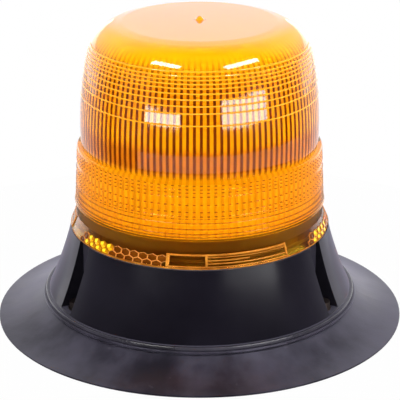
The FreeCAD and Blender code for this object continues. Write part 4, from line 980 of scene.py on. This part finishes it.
def floor_material(name, shade):
    """Pale and plain; the camera sees it nearly as white as the backdrop, with a soft shadow."""
    material = bpy.data.materials.new(name)
    tree = blank_tree(material)
    output = tree.nodes.new("ShaderNodeOutputMaterial")
    diffuse = tree.nodes.new("ShaderNodeBsdfDiffuse")
    diffuse.inputs["Color"].default_value = (shade, shade, shade, 1)
    glow = tree.nodes.new("ShaderNodeEmission")
    glow.inputs["Color"].default_value = (1, 1, 1, 1)
    glow.inputs["Strength"].default_value = 1.0
    path = tree.nodes.new("ShaderNodeLightPath")
    mix = tree.nodes.new("ShaderNodeMixShader")
    tree.links.new(product(tree, path.outputs["Is Camera Ray"], FLOOR_WHITE), mix.inputs["Fac"])
    tree.links.new(diffuse.outputs[0], mix.inputs[1])
    tree.links.new(glow.outputs[0], mix.inputs[2])
    tree.links.new(mix.outputs[0], output.inputs["Surface"])
    return material


def table_mesh(level):
    rim = []
    for degrees in range(0, 360, TABLE_STEP):
        turn = math.radians(degrees)
        rim.append((math.cos(turn) * TABLE_RADIUS, math.sin(turn) * TABLE_RADIUS, level))
    mesh = bpy.data.meshes.new("floor")
    mesh.from_pydata(rim, [], [tuple(range(len(rim)))])
    return mesh


def card_mesh(level):
    points, faces = [], []
    for degrees in range(CARD_LEFT, CARD_RIGHT + 1, CARD_STEP):
        turn = math.radians(degrees)
        for reach in (CARD_NEAR, CARD_FAR):
            points.append((math.sin(turn) * reach, -math.cos(turn) * reach, level))
    for k in range(0, len(points) - 2, 2):
        faces.append((k, k + 1, k + 3, k + 2))
    mesh = bpy.data.meshes.new("card")
    mesh.from_pydata(points, [], faces)
    return mesh


def make_floor():
    level = cad_low.z - FLOOR_DROP
    for mesh, shade in ((table_mesh(level), TABLE_SHADE), (card_mesh(level), CARD_SHADE)):
        piece = bpy.data.objects.new(mesh.name, mesh)
        bpy.context.scene.collection.objects.link(piece)
        mesh.materials.append(floor_material(mesh.name, shade))


# The studio: how bright it is in front and behind, and where along Y it turns from one to the other
STUDIO_FRONT = 0.015
STUDIO_BACK = 1.1
STUDIO_TURN = (0.0, 0.75)
STUDIO_COLOUR = (0.97, 0.97, 1.0, 1)


def make_world():
    """White to the camera and through the lens; for light and gloss, a studio that is dimmer in front."""
    world = bpy.data.worlds.new("studio")
    bpy.context.scene.world = world
    tree = blank_tree(world)
    output = tree.nodes.new("ShaderNodeOutputWorld")
    seen = tree.nodes.new("ShaderNodeBackground")
    seen.inputs["Color"].default_value = (1, 1, 1, 1)
    seen.inputs["Strength"].default_value = 1.0
    studio = tree.nodes.new("ShaderNodeBackground")
    studio.inputs["Color"].default_value = STUDIO_COLOUR
    _, y, _ = axes(tree, "Generated")
    tree.links.new(map_range(tree, y, *STUDIO_TURN, STUDIO_FRONT, STUDIO_BACK), studio.inputs["Strength"])
    path = tree.nodes.new("ShaderNodeLightPath")
    either = number(tree, "MAXIMUM", path.outputs["Is Camera Ray"], path.outputs["Is Transmission Ray"])
    mix = tree.nodes.new("ShaderNodeMixShader")
    tree.links.new(either, mix.inputs["Fac"])
    tree.links.new(studio.outputs[0], mix.inputs[1])
    tree.links.new(seen.outputs[0], mix.inputs[2])
    tree.links.new(mix.outputs[0], output.inputs["Surface"])


# Soft boxes, aimed at a point this high on the axis
# Each box: azimuth from the front towards +X, elevation, distance, width, height, power, what doesn't show it
LIGHT_AIM = 0.115
SOFTBOXES = (
    ("left_low_softbox", -35, -4.5, 3.0, 1.83, 0.29, 22.0, None),
    ("right_low_softbox", 43, -2.5, 3.0, 2.48, 0.55, 50.0, None),
    ("left_fill", -66, 4, 2.2, 1.5, 1.5, 56.0, "gloss"),
    ("right_fill", 66, 4, 2.2, 1.5, 1.5, 48.0, "gloss"),
    ("left_high_softbox", -46, 52, 1.0, 0.46, 0.15, 5.0, None),
    ("right_high_softbox", 57, 50, 1.0, 0.60, 0.15, 6.5, None),
    ("left_back_low", -143, -2, 1.5, 1.5, 0.45, 2.6, "lens"),
    ("right_back_low", 143, -2, 1.5, 1.5, 0.45, 2.6, "lens"),
)


def make_lights():
    """Soft boxes that face the object. Gloss doesn't show the fills, nor the lens the back ones."""
    for name, azimuth, elevation, distance, width, height, power, unseen in SOFTBOXES:
        lamp = bpy.data.lights.new(name, "AREA")
        lamp.shape = "RECTANGLE"
        lamp.size = width
        lamp.size_y = height
        lamp.energy = power
        box = bpy.data.objects.new(name, lamp)
        bpy.context.scene.collection.objects.link(box)
        turn = math.radians(azimuth)
        lift = math.radians(elevation)
        away = Vector((math.sin(turn) * math.cos(lift), -math.cos(turn) * math.cos(lift), math.sin(lift)))
        box.location = Vector((0, 0, LIGHT_AIM)) + away * distance
        box.rotation_mode = "QUATERNION"
        box.rotation_quaternion = (-away).to_track_quat("-Z", "Y")
        box.visible_camera = False
        box.visible_glossy = unseen != "gloss"
        box.visible_transmission = unseen != "lens"


def make_camera():
    data = bpy.data.cameras.new("camera")
    camera = bpy.data.objects.new("camera", data)
    bpy.context.scene.collection.objects.link(camera)
    back = Vector((0, -math.cos(CAMERA_ELEVATION), math.sin(CAMERA_ELEVATION)))
    camera.location = Vector((0, 0, AIM_HEIGHT)) + back * CAMERA_DISTANCE
    camera.rotation_mode = "QUATERNION"
    camera.rotation_quaternion = (-back).to_track_quat("-Z", "Y")
    data.sensor_width = SENSOR_MM
    data.lens = FOCAL_PIXELS / FRAME_PIXELS * SENSOR_MM
    data.shift_x = (FRAME_PIXELS / 2 - AXIS_PIXEL) / FRAME_PIXELS
    data.clip_start = CLIP_START
    data.clip_end = CLIP_END
    bpy.context.scene.camera = camera


def dress(piece, finishes):
    """Gives a new piece its materials, in the order of its material slots."""
    for finish in finishes:
        piece.data.materials.append(materials[finish])


make_camera()
make_world()
make_lights()
make_floor()
materials = make_materials()
dress_cad_nodes()

lens = make_lens()
dress(lens, ("amber_plastic", "amber_flutes"))
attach(lens, "lens")
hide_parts("lens")

skirt_finishes = (("amber_rail",), ("reflex_rim",), ("reflex_painted_shade_rim",), ("reflex_painted_shade",), REFLEX_PAINTED_LIGHTING)
for piece, finishes in zip((make_frames(), *make_cells()), skirt_finishes):
    dress(piece, finishes)
    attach(piece, "lens")

beads = joined("housing_beads", [rounded_ring(*HOUSING_BEAD)])
dress(beads, ("rubbed_and_highlit_plastic",))
lip = joined("rubber_lip", [rounded_ring(*LIP_BEAD)])
dress(lip, ("black_rubber",))
for piece, slot in ((beads, "black_plastic"), (lip, "black_rubber")):
    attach(piece, "base")

bpy.context.scene.view_settings.view_transform = "Standard"
